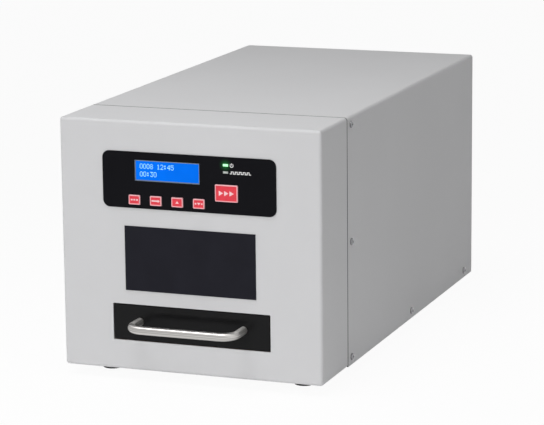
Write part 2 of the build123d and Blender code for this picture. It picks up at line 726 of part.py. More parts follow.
# Cross sections of the drawer and the tunnel
face_width = opening_width - 2 * DRAWER_GAP
face_height = OPENING_HEIGHT - 2 * DRAWER_GAP
tray_width = face_width - 2 * TRAY_INSET
tray_bottom = drawer_z - face_height / 2 + TRAY_RISE
tray_top = tray_bottom + TRAY_HEIGHT
bay_width = tray_width - 2 * TRAY_WALL
bore_low = tray_bottom - RUN_GAP - RUNNER_THICKNESS
bore_high = tray_top + TUNNEL_HEADROOM
bore_width = tray_width + 2 * TUNNEL_SIDE_GAP
bore_height = bore_high - bore_low
bore_z = (bore_low + bore_high) / 2
former_width = bore_width + 2 * FORMER_WALL
former_height = bore_height + 2 * FORMER_WALL
winding_width = former_width + 2 * WINDING
winding_height = former_height + 2 * WINDING
cheek_top = bore_z + winding_height / 2 + CHEEK_OVERLAP
cheek_width = winding_width + 2 * CHEEK_OVERLAP
handle_z = drawer_z + HANDLE_RISE
handle_hole = HANDLE_SCREW_SIZE / 2 + SCREW_GAP
handle_x = face_width / 2 - HANDLE_INSET
handle_posts = [(-handle_x, handle_z), (handle_x, handle_z)]

# Drawer front
with BuildPart() as drawer_front:
    with BuildSketch(facing_front(DRAWER_RECESS)):
        with Locations((0, drawer_z)):
            Rectangle(face_width, face_height)
        with Locations(*handle_posts):
            Circle(handle_hole, mode=Mode.SUBTRACT)
    extrude(amount=-FACE_THICKNESS)
    face_outline = drawer_front.faces().sort_by(Axis.Y)[0].outer_wire()
    chamfer(face_outline.edges(), FACE_EDGE)

# Drawer tray: a deck behind the front, the drive bay, and a tail of two rails and a crossbar
deck_hollow = bay_start - tray_front - 2 * TRAY_WALL
tail_hollow = TAIL_LENGTH - CROSSBAR
with BuildPart() as drawer_tray:
    with BuildSketch(Plane.XY.offset(tray_bottom)):
        with Locations((0, front_y + tray_front)):
            Rectangle(tray_width, tray_end - tray_front, align=(Align.CENTER, Align.MIN))
    extrude(amount=TRAY_HEIGHT)
    with BuildSketch(Plane.XY.offset(tray_bottom + TRAY_WALL)):
        with Locations((0, front_y + bay_start)):
            Rectangle(bay_width, BAY_LENGTH, align=(Align.CENTER, Align.MIN))
    extrude(amount=TRAY_HEIGHT, mode=Mode.SUBTRACT)
    bay_corners = drawer_tray.edges().filter_by(Axis.Z).group_by(Edge.length)[0]
    fillet(bay_corners, BAY_RADIUS)
    with BuildSketch(Plane.XY.offset(tray_bottom)):
        with Locations((0, front_y + tray_front + TRAY_WALL)):
            Rectangle(bay_width, deck_hollow, align=(Align.CENTER, Align.MIN))
    extrude(amount=TRAY_HEIGHT - TRAY_WALL, mode=Mode.SUBTRACT)
    with BuildSketch(Plane.XY.offset(tray_bottom)):
        with Locations((0, front_y + tail_start)):
            Rectangle(bay_width, tail_hollow, align=(Align.CENTER, Align.MIN))
    extrude(amount=TRAY_HEIGHT, mode=Mode.SUBTRACT)
    with BuildSketch(Plane.XY.offset(tray_top)):
        with Locations((0, front_y + tray_end)):
            Rectangle(tray_width, CROSSBAR, align=(Align.CENTER, Align.MAX))
    extrude(amount=CROSSBAR_LIFT)
    with BuildSketch(facing_front(tray_front)):
        with Locations(*handle_posts):
            Circle(handle_hole)
    extrude(amount=-TRAY_WALL, mode=Mode.SUBTRACT)

# Drawer handle: a round bar bent twice, tapped at both ends
handle_y = front_y + DRAWER_RECESS
with BuildPart() as drawer_handle:
    with BuildLine(Plane.XY.offset(handle_z)) as handle_path:
        FilletPolyline(
            (-handle_x, handle_y),
            (-handle_x, handle_y - HANDLE_REACH),
            (handle_x, handle_y - HANDLE_REACH),
            (handle_x, handle_y),
            radius=HANDLE_BEND,
        )
    with BuildSketch(Plane(handle_path.line @ 0, z_dir=handle_path.line % 0)):
        Circle(HANDLE_ROD / 2)
    sweep()
    with BuildSketch(facing_front(DRAWER_RECESS)):
        with Locations(*handle_posts):
            Circle(handle_hole)
    extrude(amount=HANDLE_THREAD + FIT, mode=Mode.SUBTRACT)

handle_grip = TRAY_WALL + FACE_THICKNESS + HANDLE_THREAD
handle_screw = pan_screw(HANDLE_SCREW_SIZE, HANDLE_SCREW_HEAD, HANDLE_SCREW_HEAD_HEIGHT, handle_grip)
screw_seat_y = front_y + tray_front + TRAY_WALL
with BuildPart() as handle_screws:
    with Locations(*[Plane((x, screw_seat_y, z), z_dir=(0, 1, 0)) for x, z in handle_posts]):
        add(handle_screw)

# Flag on the back of the tray that the sensor sees when the drawer is shut
flag_x = tray_width / 2 - FLAG_INSET
flag_z = tray_bottom + TRAY_HEIGHT / 2
with BuildPart() as drawer_flag:
    with BuildSketch(facing_front(tray_end)):
        with Locations((flag_x, flag_z)):
            Rectangle(FLAG_THICKNESS, FLAG_SIZE)
    extrude(amount=-FLAG_SIZE)

# Coil former: the tube that the drawer runs in
with BuildPart() as coil_former:
    with BuildSketch(facing_front(former_start)):
        with Locations((0, bore_z)):
            RectangleRounded(former_width, former_height, FORMER_RADIUS)
            Rectangle(bore_width, bore_height, mode=Mode.SUBTRACT)
    extrude(amount=-(former_end - former_start))

# Runners on the tunnel's floor and stops under its roof
runner_x = tray_width / 2 - RUNNER_INSET - RUNNER_WIDTH / 2
with BuildPart() as drawer_runners:
    with BuildSketch(facing_front(former_start)):
        with Locations((-runner_x, bore_low), (runner_x, bore_low)):
            Rectangle(RUNNER_WIDTH, RUNNER_THICKNESS, align=(Align.CENTER, Align.MIN))
    extrude(amount=-(former_end - former_start))

stop_x = bore_width / 2 - STOP_INSET
stop_back = tray_end - CROSSBAR - DRAWER_TRAVEL - STOP_GAP
with BuildPart() as drawer_stops:
    with BuildSketch(facing_front(stop_back)):
        with Locations((-stop_x, bore_high), (stop_x, bore_high)):
            Rectangle(STOP_SIZE, STOP_DROP, align=(Align.CENTER, Align.MAX))
    extrude(amount=STOP_SIZE)

# Coil winding round the former, between two cheeks that stand on the floor plate
with BuildPart() as coil_winding:
    with BuildSketch(facing_front(winding_start)):
        with Locations((0, bore_z)):
            RectangleRounded(winding_width, winding_height, FORMER_RADIUS + WINDING)
            RectangleRounded(former_width, former_height, FORMER_RADIUS, mode=Mode.SUBTRACT)
    extrude(amount=-WINDING_LENGTH)

with BuildPart() as coil_cheeks:
    with BuildSketch(facing_front(COIL_START), facing_front(winding_end)):
        with Locations((0, (plate_top + cheek_top) / 2)):
            Rectangle(cheek_width, cheek_top - plate_top)
        with Locations((0, bore_z)):
            RectangleRounded(former_width, former_height, FORMER_RADIUS, mode=Mode.SUBTRACT)
    extrude(amount=-CHEEK)

# Steel angles that hold the cheeks down
angle_x = cheek_width / 2 - ANGLE_INSET
with BuildPart() as coil_angles:
    for face_depth, outward in ((COIL_START, -1), (coil_end, 1)):
        for x in (-angle_x, angle_x):
            corner = (x, front_y + face_depth, plate_top)
            with BuildSketch(Plane(corner, x_dir=(0, outward, 0), z_dir=(outward, 0, 0))):
                Rectangle(ANGLE_LEG, ANGLE_THICKNESS, align=Align.MIN)
                Rectangle(ANGLE_THICKNESS, ANGLE_LEG, align=Align.MIN)
            extrude(amount=ANGLE_WIDTH / 2, both=True)

# Slotted sensor on a bracket behind the tunnel, astride the flag
sensor_front = tray_end + SENSOR_BACK
sensor_low = flag_z - SENSOR_HEIGHT / 2
with BuildPart() as drawer_sensor:
    with BuildSketch(Plane.XY.offset(sensor_low)):
        with Locations((flag_x, front_y + sensor_front)):
            Rectangle(SENSOR_SIZE, SENSOR_SIZE, align=(Align.CENTER, Align.MIN))
            Rectangle(SENSOR_SLOT, SENSOR_SLOT_DEPTH, align=(Align.CENTER, Align.MIN), mode=Mode.SUBTRACT)
    extrude(amount=SENSOR_HEIGHT)

bracket_back = sensor_front + SENSOR_SIZE
with BuildPart() as sensor_bracket:
    with BuildSketch(Plane((flag_x, front_y + bracket_back, 0), x_dir=(0, 1, 0), z_dir=(1, 0, 0))):
        with Locations((0, sensor_low)):
            Rectangle(SENSOR_SIZE, SENSOR_BRACKET, align=Align.MAX)
        with Locations((0, plate_top)):
            Rectangle(SENSOR_BRACKET, sensor_low - plate_top, align=(Align.MAX, Align.MIN))
            Rectangle(SENSOR_FOOT, SENSOR_BRACKET, align=(Align.MIN, Align.MIN))
    extrude(amount=SENSOR_SIZE / 2, both=True)

# Electronics shelf on top of the cheeks
shelf_width = cheek_width + 2 * SHELF_OVERHANG
with BuildPart() as electronics_shelf:
    with BuildSketch(Plane.XY.offset(cheek_top)):
        with Locations((0, front_y + SHELF_START)):
            Rectangle(shelf_width, SHELF_LENGTH, align=(Align.CENTER, Align.MIN))
    extrude(amount=SHELF_FLANGE)
    fillet(electronics_shelf.edges().filter_by(Axis.Y).group_by(Axis.Z)[0], BEND_RADIUS)
    shelf_ends = electronics_shelf.faces().filter_by(Axis.Y)
    offset(amount=-SHEET, openings=shelf_ends + electronics_shelf.faces().sort_by(Axis.Z)[-1:])
shelf_top = cheek_top + SHEET

# Control board on standoffs, with its larger components
control_board_width = shelf_width - 2 * CONTROL_BOARD_SIDE
board_front = SHELF_START + CONTROL_BOARD_START
board_middle_y = front_y + board_front + CONTROL_BOARD_LENGTH / 2
control_z = shelf_top + CONTROL_STANDOFF
control_top = control_z + BOARD_THICKNESS
board_inset_width = control_board_width - 2 * STANDOFF_DIAMETER
board_inset_length = CONTROL_BOARD_LENGTH - 2 * STANDOFF_DIAMETER
with BuildPart() as control_board:
    with BuildSketch(Plane.XY.offset(control_z)):
        with Locations((0, board_middle_y)):
            Rectangle(control_board_width, CONTROL_BOARD_LENGTH)
    extrude(amount=BOARD_THICKNESS)

# Standoffs between the front panel and the boards behind it, and under the control board
lcd_post_x = LCD_BOARD_WIDTH / 2 - STANDOFF_INSET
lcd_post_z = LCD_BOARD_HEIGHT / 2 - STANDOFF_INSET
lcd_posts = [(LCD_X + x * lcd_post_x, lcd_place[1] + z * lcd_post_z) for x in (-1, 1) for z in (-1, 1)]
keypad_posts = [
    (board_left + STANDOFF_INSET, board_low + STANDOFF_INSET),
    (board_right - STANDOFF_INSET, board_low + STANDOFF_INSET),
    (board_right - STANDOFF_INSET, column_high - STANDOFF_INSET),
]
with BuildPart() as board_standoffs:
    with BuildSketch(facing_front(SHEET)):
        with Locations(*lcd_posts, *keypad_posts):
            RegularPolygon(STANDOFF_DIAMETER / 2, HEX_SIDES)
    extrude(amount=-(BOARD_DEPTH - SHEET))
    with BuildSketch(Plane.XY.offset(shelf_top)):
        with Locations((0, board_middle_y)):
            with GridLocations(board_inset_width, board_inset_length, 2, 2):
                RegularPolygon(STANDOFF_DIAMETER / 2, HEX_SIDES)
    extrude(amount=CONTROL_STANDOFF)

# Each component's place as shares of the board's half width and half length, then its size and height
component_blocks = [
    (-0.69, -0.42, 36, 32, 28),
    (-0.69, 0.53, 20, 28, 16),
    (-0.38, 0.53, 20, 28, 16),
    (0.09, -0.15, 38, 14, 4),
    (0.09, 0.69, 44, 10, 12),
    (0.67, 0.76, 30, 9, 12),
]
component_cans = [(0.53, -0.57, 18, 30), (0.84, -0.57, 18, 30), (0.84, 0.08, 12, 20)]
half_board_width = control_board_width / 2
half_board_length = CONTROL_BOARD_LENGTH / 2
with BuildPart() as board_components:
    for x, y, width, length, height in component_blocks:
        with BuildSketch(Plane.XY.offset(control_top)):
            with Locations((x * half_board_width, board_middle_y + y * half_board_length)):
                Rectangle(width, length)
        extrude(amount=height)
    for x, y, diameter, height in component_cans:
        with BuildSketch(Plane.XY.offset(control_top)):
            with Locations((x * half_board_width, board_middle_y + y * half_board_length)):
                Circle(diameter / 2)
        extrude(amount=height)

# Heat sink with upright fins towards the front and the thyristor on its back
sink_start = SHELF_START + SHELF_LENGTH - THYRISTOR_DEPTH - STUD_HEIGHT - HEAT_SINK_BASE
fin_pitch = (HEAT_SINK_WIDTH - FIN_THICKNESS) / (FIN_COUNT - 1)
with BuildPart() as heat_sink:
    with BuildSketch(Plane.XY.offset(shelf_top)):
        with Locations((0, front_y + sink_start)):
            Rectangle(HEAT_SINK_WIDTH, HEAT_SINK_BASE, align=(Align.CENTER, Align.MIN))
            with GridLocations(fin_pitch, 0, FIN_COUNT, 1):
                Rectangle(FIN_THICKNESS, HEAT_SINK_FIN, align=(Align.CENTER, Align.MAX))
    extrude(amount=HEAT_SINK_HEIGHT)

thyristor_start = sink_start + HEAT_SINK_BASE
thyristor_z = shelf_top + THYRISTOR_RISE + THYRISTOR_HEIGHT / 2
with BuildPart() as thyristor_module:
    with BuildSketch(facing_front(thyristor_start)):
        with Locations((0, thyristor_z)):
            RectangleRounded(THYRISTOR_WIDTH, THYRISTOR_HEIGHT, THYRISTOR_CORNER)
    extrude(amount=-THYRISTOR_DEPTH)
    with BuildSketch(facing_front(thyristor_start + THYRISTOR_DEPTH)):
        with Locations((0, thyristor_z)):
            with GridLocations(STUD_PITCH, 0, STUD_COUNT, 1):
                Circle(STUD_DIAMETER / 2)
    extrude(amount=-STUD_HEIGHT)

# Capacitor bank: four cans in clamps on the floor plate, joined by copper bars
capacitor_start = bracket_back + SENSOR_FOOT + CAPACITOR_GAP
can_radius = CAPACITOR_DIAMETER / 2
clamp_radius = can_radius + CLAMP_GAP + CLAMP_THICKNESS
can_pitch = CAPACITOR_DIAMETER + CAPACITOR_SPACE
bank_x = -plate_half + clamp_radius + can_pitch / 2
bank_y = front_y + capacitor_start + clamp_radius + can_pitch / 2
bank_top = plate_top + CAPACITOR_HEIGHT
can_places = [(bank_x + x * can_pitch / 2, bank_y + y * can_pitch / 2) for x in (-1, 1) for y in (-1, 1)]
with BuildPart() as capacitor_cans:
    with BuildSketch(Plane.XY.offset(plate_top)):
        with Locations(*can_places):
            Circle(can_radius)
    extrude(amount=CAPACITOR_HEIGHT)
    with BuildSketch(Plane.XY.offset(bank_top)):
        with Locations(*can_places):
            Circle(can_radius - CAPACITOR_RIM)
    extrude(amount=-CAPACITOR_LID_DROP, mode=Mode.SUBTRACT)

with BuildPart() as capacitor_clamps:
    with BuildSketch(Plane.XY.offset(plate_top)):
        with Locations(*can_places):
            with PolarLocations(0, CLAMP_TABS, start_angle=180 / CLAMP_TABS):
                with Locations((clamp_radius, 0)):
                    Rectangle(2 * CLAMP_TAB, CLAMP_TAB)
            Circle(clamp_radius - CLAMP_THICKNESS, mode=Mode.SUBTRACT)
    extrude(amount=CLAMP_THICKNESS)
    with BuildSketch(Plane.XY.offset(plate_top)):
        with Locations(*can_places):
            Circle(clamp_radius)
            Circle(clamp_radius - CLAMP_THICKNESS, mode=Mode.SUBTRACT)
    extrude(amount=CLAMP_HEIGHT)

terminal_low = bank_top - CAPACITOR_LID_DROP
bar_low = terminal_low + TERMINAL_HEIGHT
with BuildPart() as capacitor_terminals:
    with BuildSketch(Plane.XY.offset(terminal_low)):
        with Locations(*can_places):
            with GridLocations(TERMINAL_SPACING, 0, 2, 1):
                RegularPolygon(TERMINAL_DIAMETER / 2, HEX_SIDES)
    extrude(amount=TERMINAL_HEIGHT)

bar_length = can_pitch + TERMINAL_DIAMETER + BAR_PAST
link_length = can_pitch - TERMINAL_SPACING + BAR_WIDTH
with BuildPart() as bus_bars:
    with BuildSketch(Plane.XY.offset(bar_low)):
        with Locations((bank_x, bank_y)):
            with GridLocations(can_pitch, 0, 2, 1):
                with GridLocations(TERMINAL_SPACING, 0, 2, 1):
                    Rectangle(BAR_WIDTH, bar_length)
    extrude(amount=BAR_THICKNESS)

with BuildPart() as series_link:
    with BuildSketch(Plane.XY.offset(bar_low + BAR_THICKNESS)):
        with Locations((bank_x, bank_y)):
            Rectangle(link_length, BAR_WIDTH)
    extrude(amount=BAR_THICKNESS)

# Charging transformer: laminated core, winding and the strap that holds it down
window_height = CORE_HEIGHT - 2 * CORE_LEG
centre_leg = CORE_LENGTH - 2 * (CORE_LEG + CORE_WINDOW)
winding_x = CORE_STACK + 2 * (TRANSFORMER_GAP + TRANSFORMER_WINDING)
winding_y = centre_leg + 2 * (TRANSFORMER_GAP + TRANSFORMER_WINDING)
transformer_x = plate_half - PLATE_MARGIN - winding_x / 2
strap_length = CORE_LENGTH + 2 * STRAP_THICKNESS
transformer_y = front_y + capacitor_start + STRAP_TAB + strap_length / 2
core_middle = plate_top + CORE_HEIGHT / 2
core_plane = Plane((transformer_x, transformer_y, core_middle), x_dir=(0, 1, 0), z_dir=(1, 0, 0))
with BuildPart() as transformer_core:
    with BuildSketch(core_plane):
        Rectangle(CORE_LENGTH, CORE_HEIGHT)
        with GridLocations(centre_leg + CORE_WINDOW, 0, 2, 1):
            Rectangle(CORE_WINDOW, window_height, mode=Mode.SUBTRACT)
    extrude(amount=CORE_STACK / 2, both=True)

with BuildPart() as transformer_winding:
    with BuildSketch(Plane((transformer_x, transformer_y, core_middle))):
        RectangleRounded(winding_x, winding_y, TRANSFORMER_WINDING)
        Rectangle(CORE_STACK + 2 * TRANSFORMER_GAP, centre_leg + 2 * TRANSFORMER_GAP, mode=Mode.SUBTRACT)
    extrude(amount=window_height / 2, both=True)

with BuildPart() as transformer_strap:
    with BuildSketch(core_plane):
        with Locations((0, STRAP_THICKNESS / 2)):
            Rectangle(strap_length, CORE_HEIGHT + STRAP_THICKNESS)
        with Locations((0, (STRAP_THICKNESS - CORE_HEIGHT) / 2)):
            Rectangle(strap_length + 2 * STRAP_TAB, STRAP_THICKNESS)
        Rectangle(CORE_LENGTH, CORE_HEIGHT, mode=Mode.SUBTRACT)
    extrude(amount=CORE_STACK / 2 - TRANSFORMER_GAP, both=True)

# Bleed resistors: finned metal cases on the floor plate behind the transformer
resistor_start = transformer_y + strap_length / 2 + STRAP_TAB + RESISTOR_SPACE
resistor_y = resistor_start + RESISTOR_WIDTH / 2 + RESISTOR_SPACING / 2
fin_groove = RESISTOR_WIDTH / (2 * RESISTOR_FINS - 1)
with BuildPart() as bleed_resistors:
    with BuildSketch(Plane.YZ.offset(transformer_x)):
        with Locations((resistor_y, plate_top)):
            with GridLocations(RESISTOR_SPACING, 0, 2, 1):
                Rectangle(RESISTOR_WIDTH, RESISTOR_HEIGHT, align=(Align.CENTER, Align.MIN))
                with Locations((0, RESISTOR_HEIGHT)):
                    with GridLocations(2 * fin_groove, 0, RESISTOR_FINS - 1, 1):
                        Rectangle(fin_groove, RESISTOR_HEIGHT / 2, mode=Mode.SUBTRACT)
    extrude(amount=RESISTOR_LENGTH / 2, both=True)

# Fan frame: square frame with a round duct, its motor seat on struts and the corner screw holes
fan_x, fan_z = fan_place
fan_front = rear_in - FAN_DEPTH
fan_plane = Plane((fan_x, rear_in, fan_z), x_dir=(1, 0, 0), z_dir=(0, -1, 0))
seat_plane = Plane((fan_x, fan_front, fan_z), x_dir=(1, 0, 0), z_dir=(0, 1, 0))
with BuildPart() as fan_frame:
    with BuildSketch(fan_plane):
        RectangleRounded(FAN_SIZE, FAN_SIZE, FAN_CORNER)
        Circle(duct_radius, mode=Mode.SUBTRACT)
        with GridLocations(FAN_HOLE_PITCH, FAN_HOLE_PITCH, 2, 2):
            Circle(FAN_HOLE / 2, mode=Mode.SUBTRACT)
    extrude(amount=FAN_DEPTH)
    with BuildSketch(seat_plane):
        with PolarLocations(0, FAN_STRUTS):
            Rectangle(duct_radius + FAN_STRUT / 2, FAN_STRUT, align=(Align.MIN, Align.CENTER))
        Circle(FAN_HUB / 2)
        Circle(FAN_SHAFT / 2 + FAN_SHAFT_GAP, mode=Mode.SUBTRACT)
    extrude(amount=FAN_MOTOR_DEPTH)

# Fan rotor: hub with pitched, cambered blades on a shaft that runs in the motor seat
hub_front = fan_front + FAN_MOTOR_DEPTH + FAN_RUN_GAP
hub_plane = Plane((fan_x, hub_front, fan_z), x_dir=(1, 0, 0), z_dir=(0, 1, 0))
half_chord = FAN_BLADE_CHORD / 2
blade_root = FAN_HUB / 2 - FAN_BLADE_THICKNESS
blade_tip = sqrt((duct_radius - FAN_TIP_GAP) ** 2 - half_chord**2)
blade_axial = sin(radians(FAN_BLADE_PITCH))
blade_across = cos(radians(FAN_BLADE_PITCH))


def blade_plane(angle):
    """Plane across one blade at its root, with local x along the pitched chord."""
    outward = Vector(cos(radians(angle)), 0, sin(radians(angle)))
    tangent = Vector(-sin(radians(angle)), 0, cos(radians(angle)))
    chord = tangent * blade_across + Vector(0, 1, 0) * blade_axial
    centre = Vector(fan_x, hub_front + FAN_HUB_DEPTH / 2, fan_z) + outward * blade_root
    return Plane(centre, x_dir=chord, z_dir=outward)


blade_planes = [blade_plane(360 * i / FAN_BLADES) for i in range(FAN_BLADES)]
with BuildPart() as fan_rotor:
    with BuildSketch(hub_plane):
        Circle(FAN_HUB / 2)
    extrude(amount=FAN_HUB_DEPTH)
    with BuildSketch(*blade_planes):
        with BuildLine():
            lower = ThreePointArc((-half_chord, 0), (0, FAN_BLADE_CAMBER), (half_chord, 0))
            ThreePointArc(lower @ 0, (0, FAN_BLADE_CAMBER + FAN_BLADE_THICKNESS), lower @ 1)
        make_face()
    extrude(amount=blade_tip - blade_root)
    with BuildSketch(hub_plane):
        Circle(FAN_SHAFT / 2)
    extrude(amount=-(FAN_RUN_GAP + FAN_MOTOR_DEPTH))

# Mains inlet: flange on the panel, a body through it and a socket with three pins
inlet_plane = Plane((socket_x, rear_out, inlet_place[1]), x_dir=(-1, 0, 0), z_dir=(0, 1, 0))
with BuildPart() as mains_inlet:
    with BuildSketch(inlet_plane):
        RectangleRounded(INLET_FLANGE_WIDTH, INLET_FLANGE_HEIGHT, INLET_CORNER)
        with GridLocations(INLET_HOLE_PITCH, 0, 2, 1):
            Circle(INLET_HOLE / 2, mode=Mode.SUBTRACT)
    extrude(amount=INLET_FLANGE)
    with BuildSketch(inlet_plane):
        Rectangle(INLET_BODY_WIDTH, INLET_BODY_HEIGHT)
    extrude(amount=-INLET_BODY_DEPTH)
    with BuildSketch(inlet_plane.offset(INLET_FLANGE)) as inlet_mouth:
        Rectangle(INLET_MOUTH_WIDTH, INLET_MOUTH_HEIGHT)
        chamfer(inlet_mouth.vertices().group_by(Axis.Y)[-1], INLET_MOUTH_CORNER)
    extrude(amount=-INLET_MOUTH_DEPTH, mode=Mode.SUBTRACT)
    with BuildSketch(inlet_plane.offset(INLET_FLANGE)):
        with Locations((-PIN_PITCH, -PIN_OFFSET), (0, PIN_OFFSET), (PIN_PITCH, -PIN_OFFSET)):
            Rectangle(PIN_WIDTH, PIN_HEIGHT)
    extrude(amount=-(INLET_FLANGE + INLET_BODY_DEPTH), mode=Mode.SUBTRACT)

socket_floor = INLET_FLANGE - INLET_MOUTH_DEPTH
with BuildPart() as inlet_pins:
    with BuildSketch(inlet_plane.offset(socket_floor + PIN_LENGTH)):
        with Locations((-PIN_PITCH, -PIN_OFFSET), (0, PIN_OFFSET), (PIN_PITCH, -PIN_OFFSET)):
            Rectangle(PIN_WIDTH, PIN_HEIGHT)
    extrude(amount=-(PIN_LENGTH + INLET_BODY_DEPTH + socket_floor + PIN_TAIL))

inlet_seat = rear_out + INLET_FLANGE
inlet_screw_places = [socket_x - INLET_HOLE_PITCH / 2, socket_x + INLET_HOLE_PITCH / 2]
inlet_screw = pan_screw(INLET_SCREW_SIZE, INLET_SCREW_HEAD, INLET_SCREW_HEAD_HEIGHT, SCREW_LENGTH)
with BuildPart() as inlet_screws:
    with Locations(*[Plane((x, inlet_seat, inlet_place[1]), z_dir=(0, 1, 0)) for x in inlet_screw_places]):
        add(inlet_screw)

# Power switch: bezel and body with a well, and the rocker on its pivot pins, shown pressed at the top
switch_plane = Plane((socket_x, rear_out, switch_place[1]), x_dir=(-1, 0, 0), z_dir=(0, 1, 0))
pivot_y = rear_out - ROCKER_PIVOT_DEPTH
pivot_z = switch_place[1]
well_depth = ROCKER_PIVOT_DEPTH + ROCKER_BELOW_PIVOT + ROCKER_WELL
pivot_plane = Plane.YZ.offset(socket_x)
with BuildPart() as power_switch:
    with BuildSketch(switch_plane):
        RectangleRounded(bezel_width, bezel_height, SWITCH_BEZEL_BORDER)
    extrude(amount=SWITCH_BEZEL)
    with BuildSketch(switch_plane):
        Rectangle(switch_width, switch_height)
    extrude(amount=-SWITCH_DEPTH)
    with BuildSketch(switch_plane.offset(SWITCH_BEZEL)):
        Rectangle(well_width, well_height)
    extrude(amount=-(SWITCH_BEZEL + well_depth), mode=Mode.SUBTRACT)
    with BuildSketch(pivot_plane):
        with Locations((pivot_y, pivot_z)):
            Circle(ROCKER_PIN / 2 + ROCKER_PIN_GAP)
    extrude(amount=ROCKER_WIDTH / 2 + ROCKER_GAP + ROCKER_PIN_LENGTH, both=True, mode=Mode.SUBTRACT)

tilt = radians(ROCKER_TILT)
rocker_plane = Plane((socket_x, pivot_y, pivot_z), x_dir=(0, cos(tilt), sin(tilt)), z_dir=(1, 0, 0))
rocker_end = ROCKER_PIVOT_DEPTH + ROCKER_HALF * tan(tilt)
rocker_foot = sqrt(rocker_radius**2 - ROCKER_BELOW_PIVOT**2)
with BuildPart() as power_rocker:
    with BuildSketch(rocker_plane):
        with BuildLine():
            foot_line = Line((-ROCKER_BELOW_PIVOT, -rocker_foot), (-ROCKER_BELOW_PIVOT, rocker_foot))
            ThreePointArc(foot_line @ 1, (0, rocker_radius), (rocker_end, ROCKER_HALF))
            Polyline((rocker_end, ROCKER_HALF), (ROCKER_PIVOT_DEPTH, 0), (rocker_end, -ROCKER_HALF))
            ThreePointArc((rocker_end, -ROCKER_HALF), (0, -rocker_radius), foot_line @ 0)
        make_face()
    extrude(amount=ROCKER_WIDTH / 2, both=True)
    with BuildSketch(pivot_plane):
        with Locations((pivot_y, pivot_z)):
            Circle(ROCKER_PIN / 2)
    extrude(amount=ROCKER_WIDTH / 2 + ROCKER_PIN_LENGTH, both=True)

pieces = {
    "front_panel": front_panel,
    "top_cover": top_cover,
    "base_pan": base_pan,
    "rear_panel": rear_panel,
    "joint_strips": joint_strips,
    "floor_plate": floor_plate,
    "case_screws": case_screws,
    "feet": feet,
    "foot_screws": foot_screws,
    "keypad_overlay": keypad_overlay,
    "lcd_frame": lcd_frame,
    "lcd_glass": lcd_glass,
    "lcd_backlight": lcd_backlight,
    "lcd_board": lcd_board,
    "keypad_board": keypad_board,
    "key_switches": key_switches,
    "board_standoffs": board_standoffs,
    "start_key": start_key,
    "power_led": power_led,
    "status_led": status_led,
    "label_plate": label_plate,
    "drawer_front": drawer_front,
    "drawer_tray": drawer_tray,
    "drawer_handle": drawer_handle,
    "handle_screws": handle_screws,
    "drawer_flag": drawer_flag,
    "coil_former": coil_former,
    "drawer_runners": drawer_runners,
    "drawer_stops": drawer_stops,
    "coil_winding": coil_winding,
    "coil_cheeks": coil_cheeks,
    "coil_angles": coil_angles,
    "drawer_sensor": drawer_sensor,
    "sensor_bracket": sensor_bracket,
    "electronics_shelf": electronics_shelf,
    "control_board": control_board,
    "board_components": board_components,
    "heat_sink": heat_sink,
    "thyristor_module": thyristor_module,
    "capacitor_cans": capacitor_cans,
    "capacitor_clamps": capacitor_clamps,
    "capacitor_terminals": capacitor_terminals,
    "bus_bars": bus_bars,
    "series_link": series_link,
    "transformer_core": transformer_core,
    "transformer_winding": transformer_winding,
    "transformer_strap": transformer_strap,
    "bleed_resistors": bleed_resistors,
    "fan_frame": fan_frame,
    "fan_rotor": fan_rotor,
    "mains_inlet": mains_inlet,
    "inlet_pins": inlet_pins,
    "inlet_screws": inlet_screws,
    "power_switch": power_switch,
    "power_rocker": power_rocker,
}
for i, key in enumerate(keys):
    pieces[f"key_{i + 1}"] = key

for name, piece in pieces.items():
    piece.part.label = name
    export_step(piece.part, f"parts/{name}.step")
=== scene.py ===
import json
import math

import bmesh
import bpy
from bpy.props import FloatProperty, FloatVectorProperty, IntProperty, PointerProperty, StringProperty
from mathutils import Matrix, Vector


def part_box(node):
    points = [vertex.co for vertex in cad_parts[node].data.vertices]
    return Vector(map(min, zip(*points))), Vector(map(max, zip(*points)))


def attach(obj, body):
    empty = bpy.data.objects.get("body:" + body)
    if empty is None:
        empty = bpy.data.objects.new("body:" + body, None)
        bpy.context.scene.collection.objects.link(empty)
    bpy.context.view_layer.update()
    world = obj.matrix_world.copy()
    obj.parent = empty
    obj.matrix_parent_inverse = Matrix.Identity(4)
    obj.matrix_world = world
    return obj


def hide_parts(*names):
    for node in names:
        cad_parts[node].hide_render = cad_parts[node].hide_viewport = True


bl_info = {
    "name": "Hard drive degausser looks",
    "version": (1, 0, 0),
    "blender": (4, 5, 0),
    "location": "View3D > Sidebar > Degausser",
    "description": "Finishes, display, key signs, screws and studio for the degausser's packed frame",
    "category": "Object",
}

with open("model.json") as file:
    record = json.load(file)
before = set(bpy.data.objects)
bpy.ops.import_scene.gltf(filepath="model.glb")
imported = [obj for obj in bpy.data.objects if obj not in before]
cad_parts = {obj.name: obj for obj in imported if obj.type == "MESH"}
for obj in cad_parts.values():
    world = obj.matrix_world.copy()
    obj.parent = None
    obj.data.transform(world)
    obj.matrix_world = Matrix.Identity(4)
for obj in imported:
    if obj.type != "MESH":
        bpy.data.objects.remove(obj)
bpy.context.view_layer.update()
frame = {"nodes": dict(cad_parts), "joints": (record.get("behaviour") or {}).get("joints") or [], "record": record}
MM = 0.001
PRINT = 0.03 * MM  # thickness of a print
FORWARD = Vector((0.0, -1.0, 0.0))
BACKWARD = Vector((0.0, 1.0, 0.0))
SCREW_REACH = 0.016  # points nearer than this belong to one screw
WELD = 1e-6  # points nearer than this are one
chassis = "chassis"
slot_of = {row["node"]: row["material_slot"] for row in frame["record"]["subparts"]}


# Sizes and colours that a user would change

